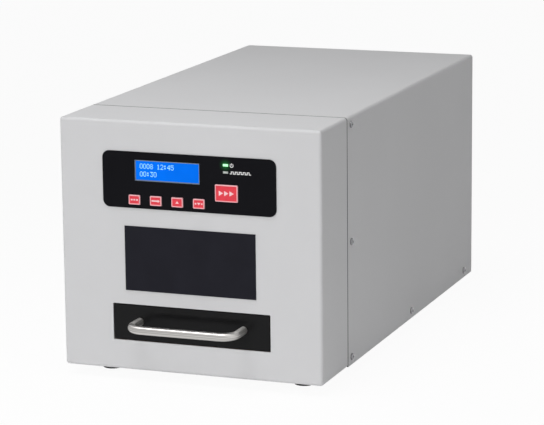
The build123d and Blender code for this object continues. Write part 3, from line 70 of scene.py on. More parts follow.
class CaseLook(bpy.types.PropertyGroup):
    """Powder coat, screws and feet."""

    paint: FloatVectorProperty(
        name="Paint", description="Powder coat colour", subtype="COLOR", size=3,
        default=(0.62, 0.62, 0.63),
    )
    paint_roughness: FloatProperty(
        name="Paint roughness", description="Gloss of the powder coat", default=0.6,
        subtype="FACTOR", min=0.0, max=1.0,
    )
    peel: FloatProperty(
        name="Peel", description="Size of the coat's orange peel", default=0.0011, unit="LENGTH"
    )
    screw_head_height: FloatProperty(
        name="Head height", description="Height of a case screw's head", default=0.0021, unit="LENGTH"
    )
    foot_head_height: FloatProperty(
        name="Foot head height", description="Height of a foot screw's head",
        default=0.0026, unit="LENGTH",
    )
    inlet_head_height: FloatProperty(
        name="Inlet head height", description="Height of an inlet screw's head",
        default=0.0016, unit="LENGTH",
    )
    recess_share: FloatProperty(
        name="Recess", description="Width of the cross recess as a share of the head",
        default=0.58, subtype="FACTOR", min=0.1, max=0.9,
    )
    fan_hole_inset: FloatProperty(
        name="Fan hole inset", description="From the fan frame's sides to its holes",
        default=0.00425, unit="LENGTH",
    )
    fan_head_height: FloatProperty(
        name="Fan head height", description="Height of a fan screw's head", default=0.0015, unit="LENGTH"
    )
    fan_head_radius: FloatProperty(
        name="Fan head radius", description="Radius of a fan screw's head", default=0.0037, unit="LENGTH"
    )


class KeypadLook(bpy.types.PropertyGroup):
    """Overlay, display, keys and lamps."""

    overlay: FloatVectorProperty(
        name="Overlay", description="Black sheet round the keys", subtype="COLOR", size=3,
        default=(0.0052, 0.0052, 0.0068),
    )
    display: FloatVectorProperty(
        name="Display", description="Lit ground of the display", subtype="COLOR", size=3,
        default=(0.001, 0.17, 0.93),
    )
    dots: FloatVectorProperty(
        name="Dots", description="Lit dots of the display", subtype="COLOR", size=3,
        default=(0.25, 0.57, 1.0),
    )
    upper_row: StringProperty(
        name="Upper row", description="Digits and colons shown above", default="0008 12:45"
    )
    lower_row: StringProperty(
        name="Lower row", description="Digits and colons shown below", default="00:30"
    )
    columns: IntProperty(name="Columns", description="Characters that fit in one row", default=16)
    character_pitch: FloatProperty(
        name="Character pitch", description="From one character to the next",
        default=0.00355, unit="LENGTH",
    )
    row_pitch: FloatProperty(
        name="Row pitch", description="From one row to the next", default=0.0076, unit="LENGTH"
    )
    dot_pitch: FloatVectorProperty(
        name="Dot pitch", description="From one dot to the next, across and down", size=2, unit="LENGTH",
        default=(0.0006, 0.00069),
    )
    dot_size: FloatVectorProperty(
        name="Dot size", description="Width and height of a dot", size=2, unit="LENGTH",
        default=(0.00054, 0.00062),
    )
    key_dish: FloatProperty(
        name="Key dish", description="Depth of the dish in a key's face", default=0.0003, unit="LENGTH"
    )
    key_face: FloatVectorProperty(
        name="Key face", description="Red of the key faces", subtype="COLOR", size=3,
        default=(0.78, 0.052, 0.076),
    )
    key_rim: FloatVectorProperty(
        name="Key rim", description="Pale rim of the keys", subtype="COLOR", size=3,
        default=(0.92, 0.48, 0.51),
    )
    key_sign: FloatVectorProperty(
        name="Key sign", description="Signs on the keys", subtype="COLOR", size=3,
        default=(0.96, 0.62, 0.64),
    )
    lamp: FloatVectorProperty(
        name="Lamp", description="Light of the power lamp", subtype="COLOR", size=3,
        default=(0.42, 1.0, 0.52),
    )
    halo: FloatVectorProperty(
        name="Halo", description="Glow round the power lamp", subtype="COLOR", size=3,
        default=(0.03, 0.80, 0.15),
    )
    print_white: FloatVectorProperty(
        name="Print", description="Printed signs beside the lamps", subtype="COLOR", size=3,
        default=(0.85, 0.85, 0.85),
    )


class DrawerLook(bpy.types.PropertyGroup):
    """Drawer front, label plate and handle."""

    front: FloatVectorProperty(
        name="Drawer front", description="Black of the drawer front", subtype="COLOR", size=3,
        default=(0.008, 0.008, 0.0085),
    )
    label: FloatVectorProperty(
        name="Label plate", description="Black of the plate", subtype="COLOR", size=3,
        default=(0.0135, 0.0135, 0.019),
    )
    handle: FloatVectorProperty(
        name="Handle", description="Polished steel of the handle", subtype="COLOR", size=3,
        default=(0.585, 0.57, 0.55),
    )
    handle_roughness: FloatProperty(
        name="Handle roughness", description="Polish of the handle", default=0.34,
        subtype="FACTOR", min=0.0, max=1.0,
    )


class RearLook(bpy.types.PropertyGroup):
    """Mains inlet, switch and fan."""

    moulding: FloatVectorProperty(
        name="Moulding", description="Black of the moulded pieces", subtype="COLOR", size=3,
        default=(0.018, 0.018, 0.019),
    )
    print_white: FloatVectorProperty(
        name="Print", description="Signs on the rocker", subtype="COLOR", size=3,
        default=(0.78, 0.78, 0.78),
    )
    rocker_crest: FloatProperty(
        name="Rocker crest", description="From the pivot to the middle of the rocker's face",
        default=0.004, unit="LENGTH",
    )
    rocker_slope: FloatProperty(
        name="Rocker slope", description="Lean of each half of the rocker's face",
        default=math.radians(9.0), unit="ROTATION",
    )
    sign_reach: FloatProperty(
        name="Sign reach", description="From the rocker's middle to a sign",
        default=0.0056, unit="LENGTH",
    )


class StageLook(bpy.types.PropertyGroup):
    """Camera, lamps and floor."""

    eye: FloatVectorProperty(
        name="Eye", description="Where the camera stands", subtype="XYZ", unit="LENGTH", size=3,
        default=(0.91138, -2.44027, 0.66991),
    )
    yaw: FloatProperty(
        name="Yaw", description="Turn of the view to the left", default=math.radians(20.587), unit="ROTATION"
    )
    pitch: FloatProperty(
        name="Pitch", description="Tilt of the view downwards", default=math.radians(11.873), unit="ROTATION"
    )
    roll: FloatProperty(
        name="Roll", description="Lean of the camera", default=math.radians(-0.6), unit="ROTATION"
    )
    lens: FloatProperty(name="Lens", description="Focal length", default=169.763, unit="CAMERA")
    sky: FloatProperty(name="Sky", description="Strength of the even light", default=0.28)
    front_power: FloatProperty(
        name="Front lamp", description="Power of the front lamp", default=78.0, unit="POWER"
    )
    top_power: FloatProperty(
        name="Top lamp", description="Power of the top lamp", default=3.6, unit="POWER"
    )
    side_power: FloatProperty(
        name="Side lamp", description="Power of the side lamp", default=4.6, unit="POWER"
    )
    shadow_share: FloatProperty(
        name="Shadow", description="Share of the floor's own shading that the camera sees",
        default=0.055, subtype="FACTOR", min=0.0, max=1.0,
    )


# Shader pieces

def new_surface(name):
    """Material with nodes, its tree and its main shader."""
    material = bpy.data.materials.new(name)
    material.use_nodes = True
    tree = material.node_tree
    return material, tree, tree.nodes["Principled BSDF"]


def place(tree):
    """Position on the object, in the part's own frame."""
    return tree.nodes.new("ShaderNodeTexCoord").outputs["Object"]


def split(tree):
    """Node that gives the position on the object as X, Y and Z."""
    node = tree.nodes.new("ShaderNodeSeparateXYZ")
    tree.links.new(place(tree), node.inputs["Vector"])
    return node


def noise(tree, size, detail=3.0, stretch=(1.0, 1.0, 1.0)):
    """Noise whose features are about the given size in metres."""
    mapping = tree.nodes.new("ShaderNodeMapping")
    mapping.inputs["Scale"].default_value = stretch
    texture = tree.nodes.new("ShaderNodeTexNoise")
    texture.inputs["Scale"].default_value = 1.0 / size
    texture.inputs["Detail"].default_value = detail
    tree.links.new(place(tree), mapping.inputs["Vector"])
    tree.links.new(mapping.outputs["Vector"], texture.inputs["Vector"])
    return texture.outputs["Fac"]


def span(tree, value, low, high, start=0.3, end=0.7):
    """Value stretched from start and end to low and high."""
    node = tree.nodes.new("ShaderNodeMapRange")
    node.inputs["From Min"].default_value = start
    node.inputs["From Max"].default_value = end
    node.inputs["To Min"].default_value = low
    node.inputs["To Max"].default_value = high
    tree.links.new(value, node.inputs["Value"])
    return node.outputs["Result"]


def math_node(tree, operation, first, second=None):
    """Result of one sum on sockets or numbers."""
    node = tree.nodes.new("ShaderNodeMath")
    node.operation = operation
    for socket, value in zip(node.inputs, (first, second)):
        if value is None:
            continue
        if isinstance(value, (int, float)):
            socket.default_value = value
        else:
            tree.links.new(value, socket)
    return node.outputs["Value"]


def blend_colours(tree, factor, first, second):
    """Colour between two, each a socket or three numbers."""
    node = tree.nodes.new("ShaderNodeMix")
    node.data_type = "RGBA"
    tree.links.new(factor, node.inputs["Factor"])
    sockets = [s for s in node.inputs if s.type == "RGBA"]
    for socket, value in zip(sockets, (first, second)):
        if hasattr(value, "is_linked"):
            tree.links.new(value, socket)
        else:
            socket.default_value = (*value, 1.0)
    return [s for s in node.outputs if s.type == "RGBA"][0]


def tint(colour, share):
    """Colour made darker or lighter by a share."""
    return tuple(min(1.0, c * (1.0 + share)) for c in colour)


def roughen(tree, shader, height, distance, strength=1.0):
    """Bump from a height."""
    node = tree.nodes.new("ShaderNodeBump")
    node.inputs["Distance"].default_value = distance
    node.inputs["Strength"].default_value = strength
    tree.links.new(height, node.inputs["Height"])
    tree.links.new(node.outputs["Normal"], shader.inputs["Normal"])


def finish(
    name, colour, roughness, grain, depth,
    metallic=0.0, spread=0.08, stretch=(1.0, 1.0, 1.0), patch=0.06, shine=0.5,
):
    """Surface with broad shade changes, uneven gloss and a fine grain."""
    material, tree, shader = new_surface(name)
    broad = noise(tree, patch, 2.0)
    fine = noise(tree, grain, 4.0, stretch)
    shade = blend_colours(tree, span(tree, broad, 0.0, 1.0), tint(colour, -spread), tint(colour, spread))
    tree.links.new(shade, shader.inputs["Base Color"])
    gloss = span(tree, fine, max(0.02, roughness - 0.08), min(1.0, roughness + 0.08))
    tree.links.new(gloss, shader.inputs["Roughness"])
    shader.inputs["Metallic"].default_value = metallic
    shader.inputs["Specular IOR Level"].default_value = shine
    roughen(tree, shader, fine, depth)
    return material


def dress(node, material):
    """Material on a CAD node's own slots."""
    for slot in frame["nodes"][node].material_slots:
        slot.material = material


def dress_slot(slot, material):
    """Material on every CAD node of a record slot."""
    for node, name in slot_of.items():
        if name == slot:
            dress(node, material)


def add_piece(name, mesh, material, body):
    """New piece in the part's frame that moves with a body."""
    piece = bpy.data.objects.new(name, mesh)
    bpy.context.scene.collection.objects.link(piece)
    mesh.materials.clear()
    mesh.materials.append(material)
    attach(piece, body)
    return piece


# Case

def powder_coat(look, seam=None):
    """Light grey powder coat with a fine orange peel, with painted shade between a seam's two depths."""
    material, tree, shader = new_surface("powder_coat_painted_seam_shade" if seam else "powder_coat")
    cloud = 0.16
    broad = noise(tree, cloud, 2.0)
    peel = noise(tree, look.peel, 2.0)
    speck = noise(tree, look.peel * 0.28, 3.0)
    paint = tuple(look.paint)
    shade = blend_colours(tree, span(tree, broad, 0.0, 1.0), tint(paint, -0.015), tint(paint, 0.015))
    speckled = blend_colours(tree, span(tree, speck, 0.0, 0.35, 0.55, 0.8), shade, tint(paint, -0.05))
    # Painted shade: near-black between the front box's rear and the cover's front, where the seam's shadow falls
    if seam:
        front, rear = seam
        edge, fade = 0.00015, 0.0005
        depth = split(tree).outputs["Y"]
        behind = span(tree, depth, 0.0, 1.0, front - edge, front)
        ahead = span(tree, depth, 1.0, 0.0, rear + edge, rear + fade)
        painted_seam_shade = math_node(tree, "MULTIPLY", behind, ahead)
        speckled = blend_colours(tree, painted_seam_shade, speckled, (0.012, 0.012, 0.012))
    tree.links.new(speckled, shader.inputs["Base Color"])
    gloss = span(tree, peel, look.paint_roughness - 0.05, look.paint_roughness + 0.07)
    tree.links.new(gloss, shader.inputs["Roughness"])
    shader.inputs["Specular IOR Level"].default_value = 0.42
    height = math_node(tree, "ADD", peel, math_node(tree, "MULTIPLY", speck, 0.3))
    roughen(tree, shader, height, 0.00004, 0.5)
    return material


class DEGAUSSER_OT_paint_case(bpy.types.Operator):
    """Powder coat on the case and rubber on the feet"""

    bl_idname = "degausser.paint_case"
    bl_label = "Paint case"

    def execute(self, context):
        look = context.scene.degausser_case
        dress_slot("case_paint", powder_coat(look))
        # The front box and the top cover get the coat with the painted seam shade
        seam = (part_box("front_panel")[1].y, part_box("top_cover")[0].y)
        at_seam = powder_coat(look, seam)
        dress("front_panel", at_seam)
        dress("top_cover", at_seam)
        # Near-black on the joint strips behind the seam is painted shade that makes the seam read dark
        seam_shade_strip = finish("joint_strip_painted_shade", (0.02, 0.02, 0.021), 0.8, 0.0008, 0.00005, patch=0.01, shine=0.1)
        dress("joint_strips", seam_shade_strip)
        rubber = finish("foot_rubber", (0.008, 0.008, 0.008), 0.72, 0.0007, 0.00006, patch=0.012, shine=0.2)
        dress_slot("foot_rubber", rubber)
        return {"FINISHED"}


def screw_steel():
    """Bright zinc with faint turning marks."""
    return finish("bright_zinc", (0.24, 0.24, 0.25), 0.2, 0.0006, 0.00001, metallic=1.0, patch=0.004)


def clusters(node):
    """Groups of a CAD node's points, each group one screw."""
    groups = []
    for vertex in frame["nodes"][node].data.vertices:
        for group in groups:
            if (vertex.co - group[0]).length < SCREW_REACH:
                group.append(vertex.co)
                break
        else:
            groups.append([vertex.co])
    return groups


def screw_seats(node):
    """Each screw's head top, outward direction and head radius, measured on the CAD node."""
    seats = []
    for group in clusters(node):
        low = Vector([min(point[i] for point in group) for i in range(3)])
        high = Vector([max(point[i] for point in group) for i in range(3)])
        size = high - low
        middle = (low + high) / 2
        along = max(range(3), key=lambda i: size[i])
        across = [i for i in range(3) if i != along]
        radius = min(size[i] for i in across) / 2
        near_low = [point for point in group if point[along] < low[along] + size[along] * 0.2]
        width_at_low = max(abs(point[i] - middle[i]) for point in near_low for i in across)
        outward = Vector((0.0, 0.0, 0.0))
        outward[along] = -1.0 if width_at_low > radius * 0.8 else 1.0
        seats.append((middle + outward * size[along] / 2, outward, radius))
    return seats


def fan_seats(look):
    """Seats of the four fan screws, on the rear panel over the corners of the fan's frame."""
    low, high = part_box("fan_frame")
    inset = look.fan_hole_inset
    head_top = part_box("rear_panel")[1].y + look.fan_head_height
    corners = [(x, z) for x in (low.x + inset, high.x - inset) for z in (low.z + inset, high.z - inset)]
    return [(Vector((x, head_top, z)), BACKWARD, look.fan_head_radius) for x, z in corners]


def domed_head(radius, height):
    """Pan head with the start of its shank, its top at the origin and pointing along Z."""
    side = height * 0.4
    dome = height - side
    shank = radius * 0.5
    stub = height * 1.4
    dome_steps = 10
    angles = [math.pi / 2 * i / dome_steps for i in range(1, dome_steps + 1)]
    profile = [(0.0, 0.0)]
    profile += [(radius * math.sin(a), -dome * (1 - math.cos(a))) for a in angles]
    profile += [(radius, -height), (shank, -height), (shank, -stub), (0.0, -stub)]
    head = bmesh.new()
    points = [head.verts.new((x, 0.0, z)) for x, z in profile]
    edges = [head.edges.new(pair) for pair in zip(points, points[1:])]
    bmesh.ops.spin(
        head, geom=points + edges, axis=(0, 0, 1), cent=(0, 0, 0),
        angle=2 * math.pi, steps=32, use_merge=True,
    )
    bmesh.ops.remove_doubles(head, verts=head.verts, dist=WELD)
    return head


def cross_tool(radius, height, recess_share):
    """Two crossed wedges, narrower at the bottom, that cut a head's recess."""
    length = 2 * radius * recess_share
    width = radius * 0.24
    depth = height * 0.75
    above = height * 0.3
    bottom_share = 0.55
    tool = bmesh.new()
    for turn in (0.0, math.pi / 2):
        for corner in bmesh.ops.create_cube(tool, size=1.0)["verts"]:
            at_top = corner.co.z > 0
            reach = length if at_top else length * bottom_share
            moved = Vector((corner.co.x * reach, corner.co.y * width, above if at_top else -depth))
            corner.co = Matrix.Rotation(turn, 3, "Z") @ moved
    return tool


def loose_object(name, shape):
    """Object of a shape's mesh, for the length of one cut."""
    bmesh.ops.recalc_face_normals(shape, faces=shape.faces)
    mesh = bpy.data.meshes.new(name)
    shape.to_mesh(mesh)
    shape.free()
    made = bpy.data.objects.new(name, mesh)
    bpy.context.scene.collection.objects.link(made)
    return made


def cross_head(radius, height, recess_share):
    """Mesh of a pan head with a cross recess."""
    head = loose_object("screw_head", domed_head(radius, height))
    tool = loose_object("screw_recess", cross_tool(radius, height, recess_share))
    cut = head.modifiers.new("recess", "BOOLEAN")
    cut.object = tool
    cut.operation = "DIFFERENCE"
    cut.solver = "EXACT"
    cut.use_self = True
    bpy.context.view_layer.update()
    made = bpy.data.meshes.new_from_object(head.evaluated_get(bpy.context.evaluated_depsgraph_get()))
    for temporary in (head, tool):
        bpy.data.objects.remove(temporary)
    return made


def screw_group(name, seats, height, recess_share, turn_step):
    """One mesh with a detailed head at each seat, each turned a little further."""
    radius = seats[0][2]
    template = cross_head(radius, height, recess_share)
    whole = bmesh.new()
    for i, (top, outward, _) in enumerate(seats):
        before = len(whole.verts)
        whole.from_mesh(template)
        whole.verts.ensure_lookup_table()
        turn = outward.to_track_quat("Z", "Y").to_matrix() @ Matrix.Rotation(i * turn_step, 3, "Z")
        for vertex in whole.verts[before:]:
            vertex.co = turn @ vertex.co + top
    bmesh.ops.remove_doubles(whole, verts=whole.verts, dist=WELD)
    mesh = bpy.data.meshes.new(name)
    whole.to_mesh(mesh)
    whole.free()
    mesh.shade_smooth()
    mesh.set_sharp_from_angle(angle=math.radians(35))
    return mesh


class DEGAUSSER_OT_drive_screws(bpy.types.Operator):
    """Cross recess heads on the case, the feet, the inlet and the fan"""

    bl_idname = "degausser.drive_screws"
    bl_label = "Drive screws"

    def execute(self, context):
        look = context.scene.degausser_case
        zinc = screw_steel()
        dress_slot("screw_steel", zinc)
        turn, fan_turn = 0.7, 0.5
        groups = (
            ("case_screw_heads", "case_screws", look.screw_head_height),
            ("foot_screw_heads", "foot_screws", look.foot_head_height),
            ("inlet_screw_heads", "inlet_screws", look.inlet_head_height),
        )
        for name, node, height in groups:
            mesh = screw_group(name, screw_seats(node), height, look.recess_share, turn)
            piece = add_piece(name, mesh, zinc, chassis)
            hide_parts(node)
        height = look.fan_head_height
        mesh = screw_group("fan_screw_heads", fan_seats(look), height, look.recess_share, fan_turn)
        add_piece("fan_screw_heads", mesh, zinc, chassis)
        return {"FINISHED"}


# Keypad

def overlay_sheet(look):
    """Black satin sheet with a painted green glow round the power lamp."""
    material, tree, shader = new_surface("overlay_sheet")
    fine = noise(tree, 0.0005, 3.0)
    broad = noise(tree, 0.05, 2.0)
    black = tuple(look.overlay)
    shade = blend_colours(tree, span(tree, broad, 0.0, 1.0), tint(black, -0.1), tint(black, 0.12))
    tree.links.new(shade, shader.inputs["Base Color"])
    tree.links.new(span(tree, fine, 0.38, 0.5), shader.inputs["Roughness"])
    shader.inputs["Specular IOR Level"].default_value = 0.05
    low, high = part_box("power_led")
    middle = (low + high) / 2
    away = tree.nodes.new("ShaderNodeVectorMath")
    away.operation = "DISTANCE"
    away.inputs[1].default_value = (middle.x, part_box("keypad_overlay")[0].y, middle.z)
    tree.links.new(place(tree), away.inputs[0])
    # Painted glow: emission on the sheet that fades with distance from the power lamp, standing in for its spilled
    # light
    halo_start, halo_end, falloff, strength = 0.0012, 0.0075, 2.2, 0.15
    near = span(tree, away.outputs["Value"], 1.0, 0.0, halo_start, halo_end)
    halo = math_node(tree, "MULTIPLY", math_node(tree, "POWER", near, falloff), strength)
    shader.inputs["Emission Color"].default_value = (*look.halo, 1.0)
    tree.links.new(halo, shader.inputs["Emission Strength"])
    roughen(tree, shader, fine, 0.00001)
    return material


def lit_display(look):
    """Backlit blue ground, a little brighter towards the backlight's end."""
    material, tree, shader = new_surface("display_ground")
    shader.inputs["Base Color"].default_value = (0.0, 0.01, 0.05, 1.0)
    low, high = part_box("lcd_glass")
    slope = span(tree, split(tree).outputs["X"], 1.0, 0.9, low.x, high.x)
    cloud = span(tree, noise(tree, 0.012, 1.0), 0.97, 1.03)
    blue = tuple(look.display)
    shade = blend_colours(tree, noise(tree, 0.02, 1.0), tint(blue, -0.05), tint(blue, 0.05))
    tree.links.new(shade, shader.inputs["Emission Color"])
    tree.links.new(math_node(tree, "MULTIPLY", slope, cloud), shader.inputs["Emission Strength"])
    shader.inputs["Roughness"].default_value = 0.3
    shader.inputs["Specular IOR Level"].default_value = 0.02
    return material


def red_key(node, look):
    """Red key with a pale rim, placed from the key's own box."""
    material, tree, shader = new_surface(f"{node}_plastic")
    low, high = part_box(node)
    middle = (low + high) / 2
    parts = split(tree)
    lip_and_rim = 0.0023
    edges = []
    for axis, index in (("X", 0), ("Z", 2)):
        offset = math_node(tree, "SUBTRACT", parts.outputs[axis], middle[index])
        half = (high[index] - low[index]) / 2 - lip_and_rim
        edges.append(math_node(tree, "SUBTRACT", math_node(tree, "ABSOLUTE", offset), half))
    outside = math_node(tree, "MAXIMUM", edges[0], edges[1])
    rim = span(tree, outside, 0.0, 1.0, -0.0001, 0.00025)
    fine = noise(tree, 0.0004, 3.0)
    broad = noise(tree, 0.006, 2.0)
    face = tuple(look.key_face)
    red = blend_colours(tree, span(tree, broad, 0.0, 1.0), tint(face, -0.06), tint(face, 0.06))
    tree.links.new(blend_colours(tree, rim, red, tuple(look.key_rim)), shader.inputs["Base Color"])
    tree.links.new(span(tree, fine, 0.36, 0.5), shader.inputs["Roughness"])
    shader.inputs["Specular IOR Level"].default_value = 0.25
    roughen(tree, shader, fine, 0.00001)
    return material


def lamp_lens(name, colour, strength):
    """Moulded lens that glows as if lit from behind: real light on the lit lamp, a faint painted glow on the unlit
    one.
    """
    material = finish(name, tint(colour, -0.2), 0.25, 0.0005, 0.000005, patch=0.002)
    shader = material.node_tree.nodes["Principled BSDF"]
    shader.inputs["Emission Color"].default_value = (*colour, 1.0)
    shader.inputs["Emission Strength"].default_value = strength
    return material


class DEGAUSSER_OT_finish_keypad(bpy.types.Operator):
    """Overlay, display, keys and lamps"""

    bl_idname = "degausser.finish_keypad"
    bl_label = "Finish keypad"

    def execute(self, context):
        look = context.scene.degausser_keypad
        dress_slot("overlay_black", overlay_sheet(look))
        dress_slot("display_blue", lit_display(look))
        tinned = finish("tinned_frame", (0.20, 0.26, 0.34), 0.45, 0.0004, 0.000008, metallic=0.3, shine=0.2)
        dress_slot("display_frame", tinned)
        dress_slot("light_guide", finish("light_guide", (0.8, 0.82, 0.85), 0.35, 0.001, 0.00001))
        dress_slot("lamp_green", lamp_lens("lamp_lit", tuple(look.lamp), 0.8))
        # The unlit lamp's lens still glows faintly: painted light
        dress_slot("lamp_clear", lamp_lens("lamp_dark", (0.52, 0.56, 0.53), 0.06))
        for node, slot in slot_of.items():
            if slot == "key_red":
                dress(node, red_key(node, look))
        return {"FINISHED"}


# Prints: outlines in millimetres, to the right and up from a sign's middle

def bar(x, z, width, height):
    """Upright rectangle round a middle."""
    right, up = width / 2, height / 2
    return [(x - right, z - up), (x + right, z - up), (x + right, z + up), (x - right, z + up)]


def triangle(x, z, width, height, turn):
    """Triangle with its tip to the right, turned in degrees."""
    corners = [(-width / 2, height / 2), (width / 2, 0.0), (-width / 2, -height / 2)]
    c, s = math.cos(math.radians(turn)), math.sin(math.radians(turn))
    return [(x + px * c - pz * s, z + px * s + pz * c) for px, pz in corners]


def arc(radius, start, end, steps):
    """Points along an arc round the middle, with angles in degrees."""
    angles = [math.radians(start + (end - start) * i / steps) for i in range(steps + 1)]
    return [(radius * math.cos(a), radius * math.sin(a)) for a in angles]


def ribbon(points, width):
    """Outlines of a line of the given width along points, mitred at its corners."""
    path = [Vector(point) for point in points]
    runs = [(b - a).normalized() for a, b in zip(path, path[1:])]
    closed = (path[0] - path[-1]).length < width / 100
    rails = []
    for i, point in enumerate(path):
        before = runs[i - 1] if i > 0 or closed else runs[0]
        after = runs[i] if i < len(runs) else runs[0] if closed else runs[-1]
        side = Vector((-before.y - after.y, before.x + after.x)).normalized()
        reach = width / 2 / side.dot(Vector((-before.y, before.x)))
        rails.append((point + side * reach, point - side * reach))
    return [[a, b, d, c] for (a, c), (b, d) in zip(rails, rails[1:])]


def on_front(x, y, z):
    """Layout on a face that looks forward, round a middle."""
    return lambda right, up: (x + right * MM, y, z + up * MM)


def print_sign(name, shapes, layout, outward, material, body):
    """Thin closed print that stands on a surface."""
    sheet = bmesh.new()
    for shape in shapes:
        sheet.faces.new([sheet.verts.new(layout(right, up)) for right, up in shape])
    bmesh.ops.remove_doubles(sheet, verts=sheet.verts, dist=PRINT / 100)
    raised = bmesh.ops.extrude_face_region(sheet, geom=sheet.faces[:], use_keep_orig=True)["geom"]
    corners = [corner for corner in raised if isinstance(corner, bmesh.types.BMVert)]
    bmesh.ops.translate(sheet, verts=corners, vec=outward * PRINT)
    bmesh.ops.recalc_face_normals(sheet, faces=sheet.faces)
    mesh = bpy.data.meshes.new(name)
    sheet.to_mesh(mesh)
    sheet.free()
    return add_piece(name, mesh, material, body)


DIGIT_DOTS = {
    "0": ".###. #...# #...# #...# #...# #...# .###.",
    "1": "..#.. .##.. ..#.. ..#.. ..#.. ..#.. .###.",
    "2": ".###. #...# ....# ...#. ..#.. .#... #####",
    "3": "##### ...#. ..#.. ...#. ....# #...# .###.",
    "4": "...#. ..##. .#.#. #..#. ##### ...#. ...#.",
    "5": "##### #.... ####. ....# ....# #...# .###.",
    "6": "..##. .#... #.... ####. #...# #...# .###.",
    "7": "##### ....# ...#. ..#.. .#... .#... .#...",
    "8": ".###. #...# #...# .###. #...# #...# .###.",
    "9": ".###. #...# #...# .#### ....# ...#. .##..",
    ":": "..... .##.. .##.. ..... .##.. .##.. .....",
    " ": "..... ..... ..... ..... ..... ..... .....",
}


class DEGAUSSER_OT_light_display(bpy.types.Operator):
    """Dot characters on the display: a counter and two times"""

    bl_idname = "degausser.light_display"
    bl_label = "Light display"

    def execute(self, context):
        look = context.scene.degausser_keypad
        low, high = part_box("lcd_glass")
        middle = (low + high) / 2
        step_across, step_down = (pitch / MM for pitch in look.dot_pitch)
        width, height = (size / MM for size in look.dot_size)
        character = look.character_pitch / MM
        lines = 7
        shapes = []
        for row, digits in enumerate((look.upper_row, look.lower_row)):
            top = look.row_pitch / MM * (0.5 - row) + lines / 2 * step_down
            for column, digit in enumerate(digits):
                left = (column - look.columns / 2) * character + step_across / 2
                for line, dots in enumerate(DIGIT_DOTS[digit].split()):
                    lit = [left + step * step_across for step, dot in enumerate(dots) if dot == "#"]
                    shapes += [bar(x, top - line * step_down, width, height) for x in lit]
        material = finish("display_dots", tuple(look.dots), 0.4, 0.0004, 0.000002)
        shader = material.node_tree.nodes["Principled BSDF"]
        shader.inputs["Emission Color"].default_value = (*look.dots, 1.0)
        shader.inputs["Emission Strength"].default_value = 0.75
        layout = on_front(middle.x, low.y, middle.z)
        print_sign("display_digits", shapes, layout, FORWARD, material, chassis)
        return {"FINISHED"}


class DEGAUSSER_OT_print_signs(bpy.types.Operator):
    """Plain signs on the keys and beside the lamps"""

    bl_idname = "degausser.print_signs"
    bl_label = "Print signs"

    def execute(self, context):
        look = context.scene.degausser_keypad
        pale = finish("key_print", tuple(look.key_sign), 0.45, 0.0004, 0.000003)
        signs = {
            "key_1": [bar(x, 0, 1.9, 1.5) for x in (-2.7, 0, 2.7)],
            "key_2": [bar(-1.1, 0, 6.4, 1.5), triangle(3.2, 0, 2.2, 3.0, 0)],
            "key_3": [triangle(0, 0.1, 2.4, 3.6, 90)],
            "key_4": [triangle(0, -0.1, 2.4, 3.6, -90), bar(-3.2, 0, 1.5, 1.5), bar(3.2, 0, 1.5, 1.5)],
            "start_key": [triangle(x, 0, 4.4, 5.0, 0) for x in (-5.4, 0.0, 5.4)],
        }
        for node, shapes in signs.items():
            low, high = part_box(node)
            middle = (low + high) / 2
            layout = on_front(middle.x, low.y + look.key_dish, middle.z)
            print_sign(f"{node}_sign", shapes, layout, FORWARD, pale, node)

        power = ribbon(arc(1.6, 125, 415, 18), 0.6) + ribbon([(0, 0.2), (0, 2.2)], 0.6)
        pulse_low, pulse_high, pulse_width = -1.0, 1.0, 2.0
        train = [(-10.6, pulse_low)]
        for start in (-9.2, -5.2, -1.2, 2.8, 6.8):
            end = start + pulse_width
            train += [(start, pulse_low), (start, pulse_high), (end, pulse_high), (end, pulse_low)]
        train += [(10.6, pulse_low)]
        white = finish("overlay_print", tuple(look.print_white), 0.5, 0.0004, 0.000003)
        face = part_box("keypad_overlay")[0].y
        for name, lamp, shapes, offset in (
            ("power_sign", "power_led", power, 3.8 * MM),
            ("pulse_sign", "status_led", ribbon(train, 0.7), 12.6 * MM),
        ):
            low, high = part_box(lamp)
            layout = on_front(high.x + offset, face, (low.z + high.z) / 2)
            print_sign(name, shapes, layout, FORWARD, white, chassis)
        return {"FINISHED"}


# Drawer and label

def polished_bar(look):
    """Steel bar polished round its girth, so that a highlight runs along the bar and both posts, with painted
    reflection streaks along the bar in its colour.
    """
    material, tree, shader = new_surface("polished_bar")
    streak = noise(tree, 0.0013, 2.0, (0.004, 0.004, 1.0))
    scuff = noise(tree, 0.0004, 3.0)
    steel = tuple(look.handle)
    # Painted reflection: dark and light bands in the bar's colour stand in for streaks of reflected surroundings
    streaked = span(tree, streak, 0.0, 1.0, 0.35, 0.65)
    shade = blend_colours(tree, streaked, tint(steel, -0.42), tint(steel, 0.26))
    tree.links.new(shade, shader.inputs["Base Color"])
    gloss = span(tree, scuff, look.handle_roughness - 0.05, look.handle_roughness + 0.05)
    tree.links.new(gloss, shader.inputs["Roughness"])
    shader.inputs["Metallic"].default_value = 1.0
    shader.inputs["Anisotropic"].default_value = 0.85
    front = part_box("drawer_handle")[0].y
    bend_start, bend_end = 0.008, 0.014
    along_post = span(tree, split(tree).outputs["Y"], 0.0, 1.0, front + bend_start, front + bend_end)
    tangent = tree.nodes.new("ShaderNodeCombineXYZ")
    tree.links.new(math_node(tree, "SUBTRACT", 1.0, along_post), tangent.inputs["X"])
    tree.links.new(along_post, tangent.inputs["Y"])
    tree.links.new(tangent.outputs["Vector"], shader.inputs["Tangent"])
    roughen(tree, shader, streak, 0.00002)
    return material


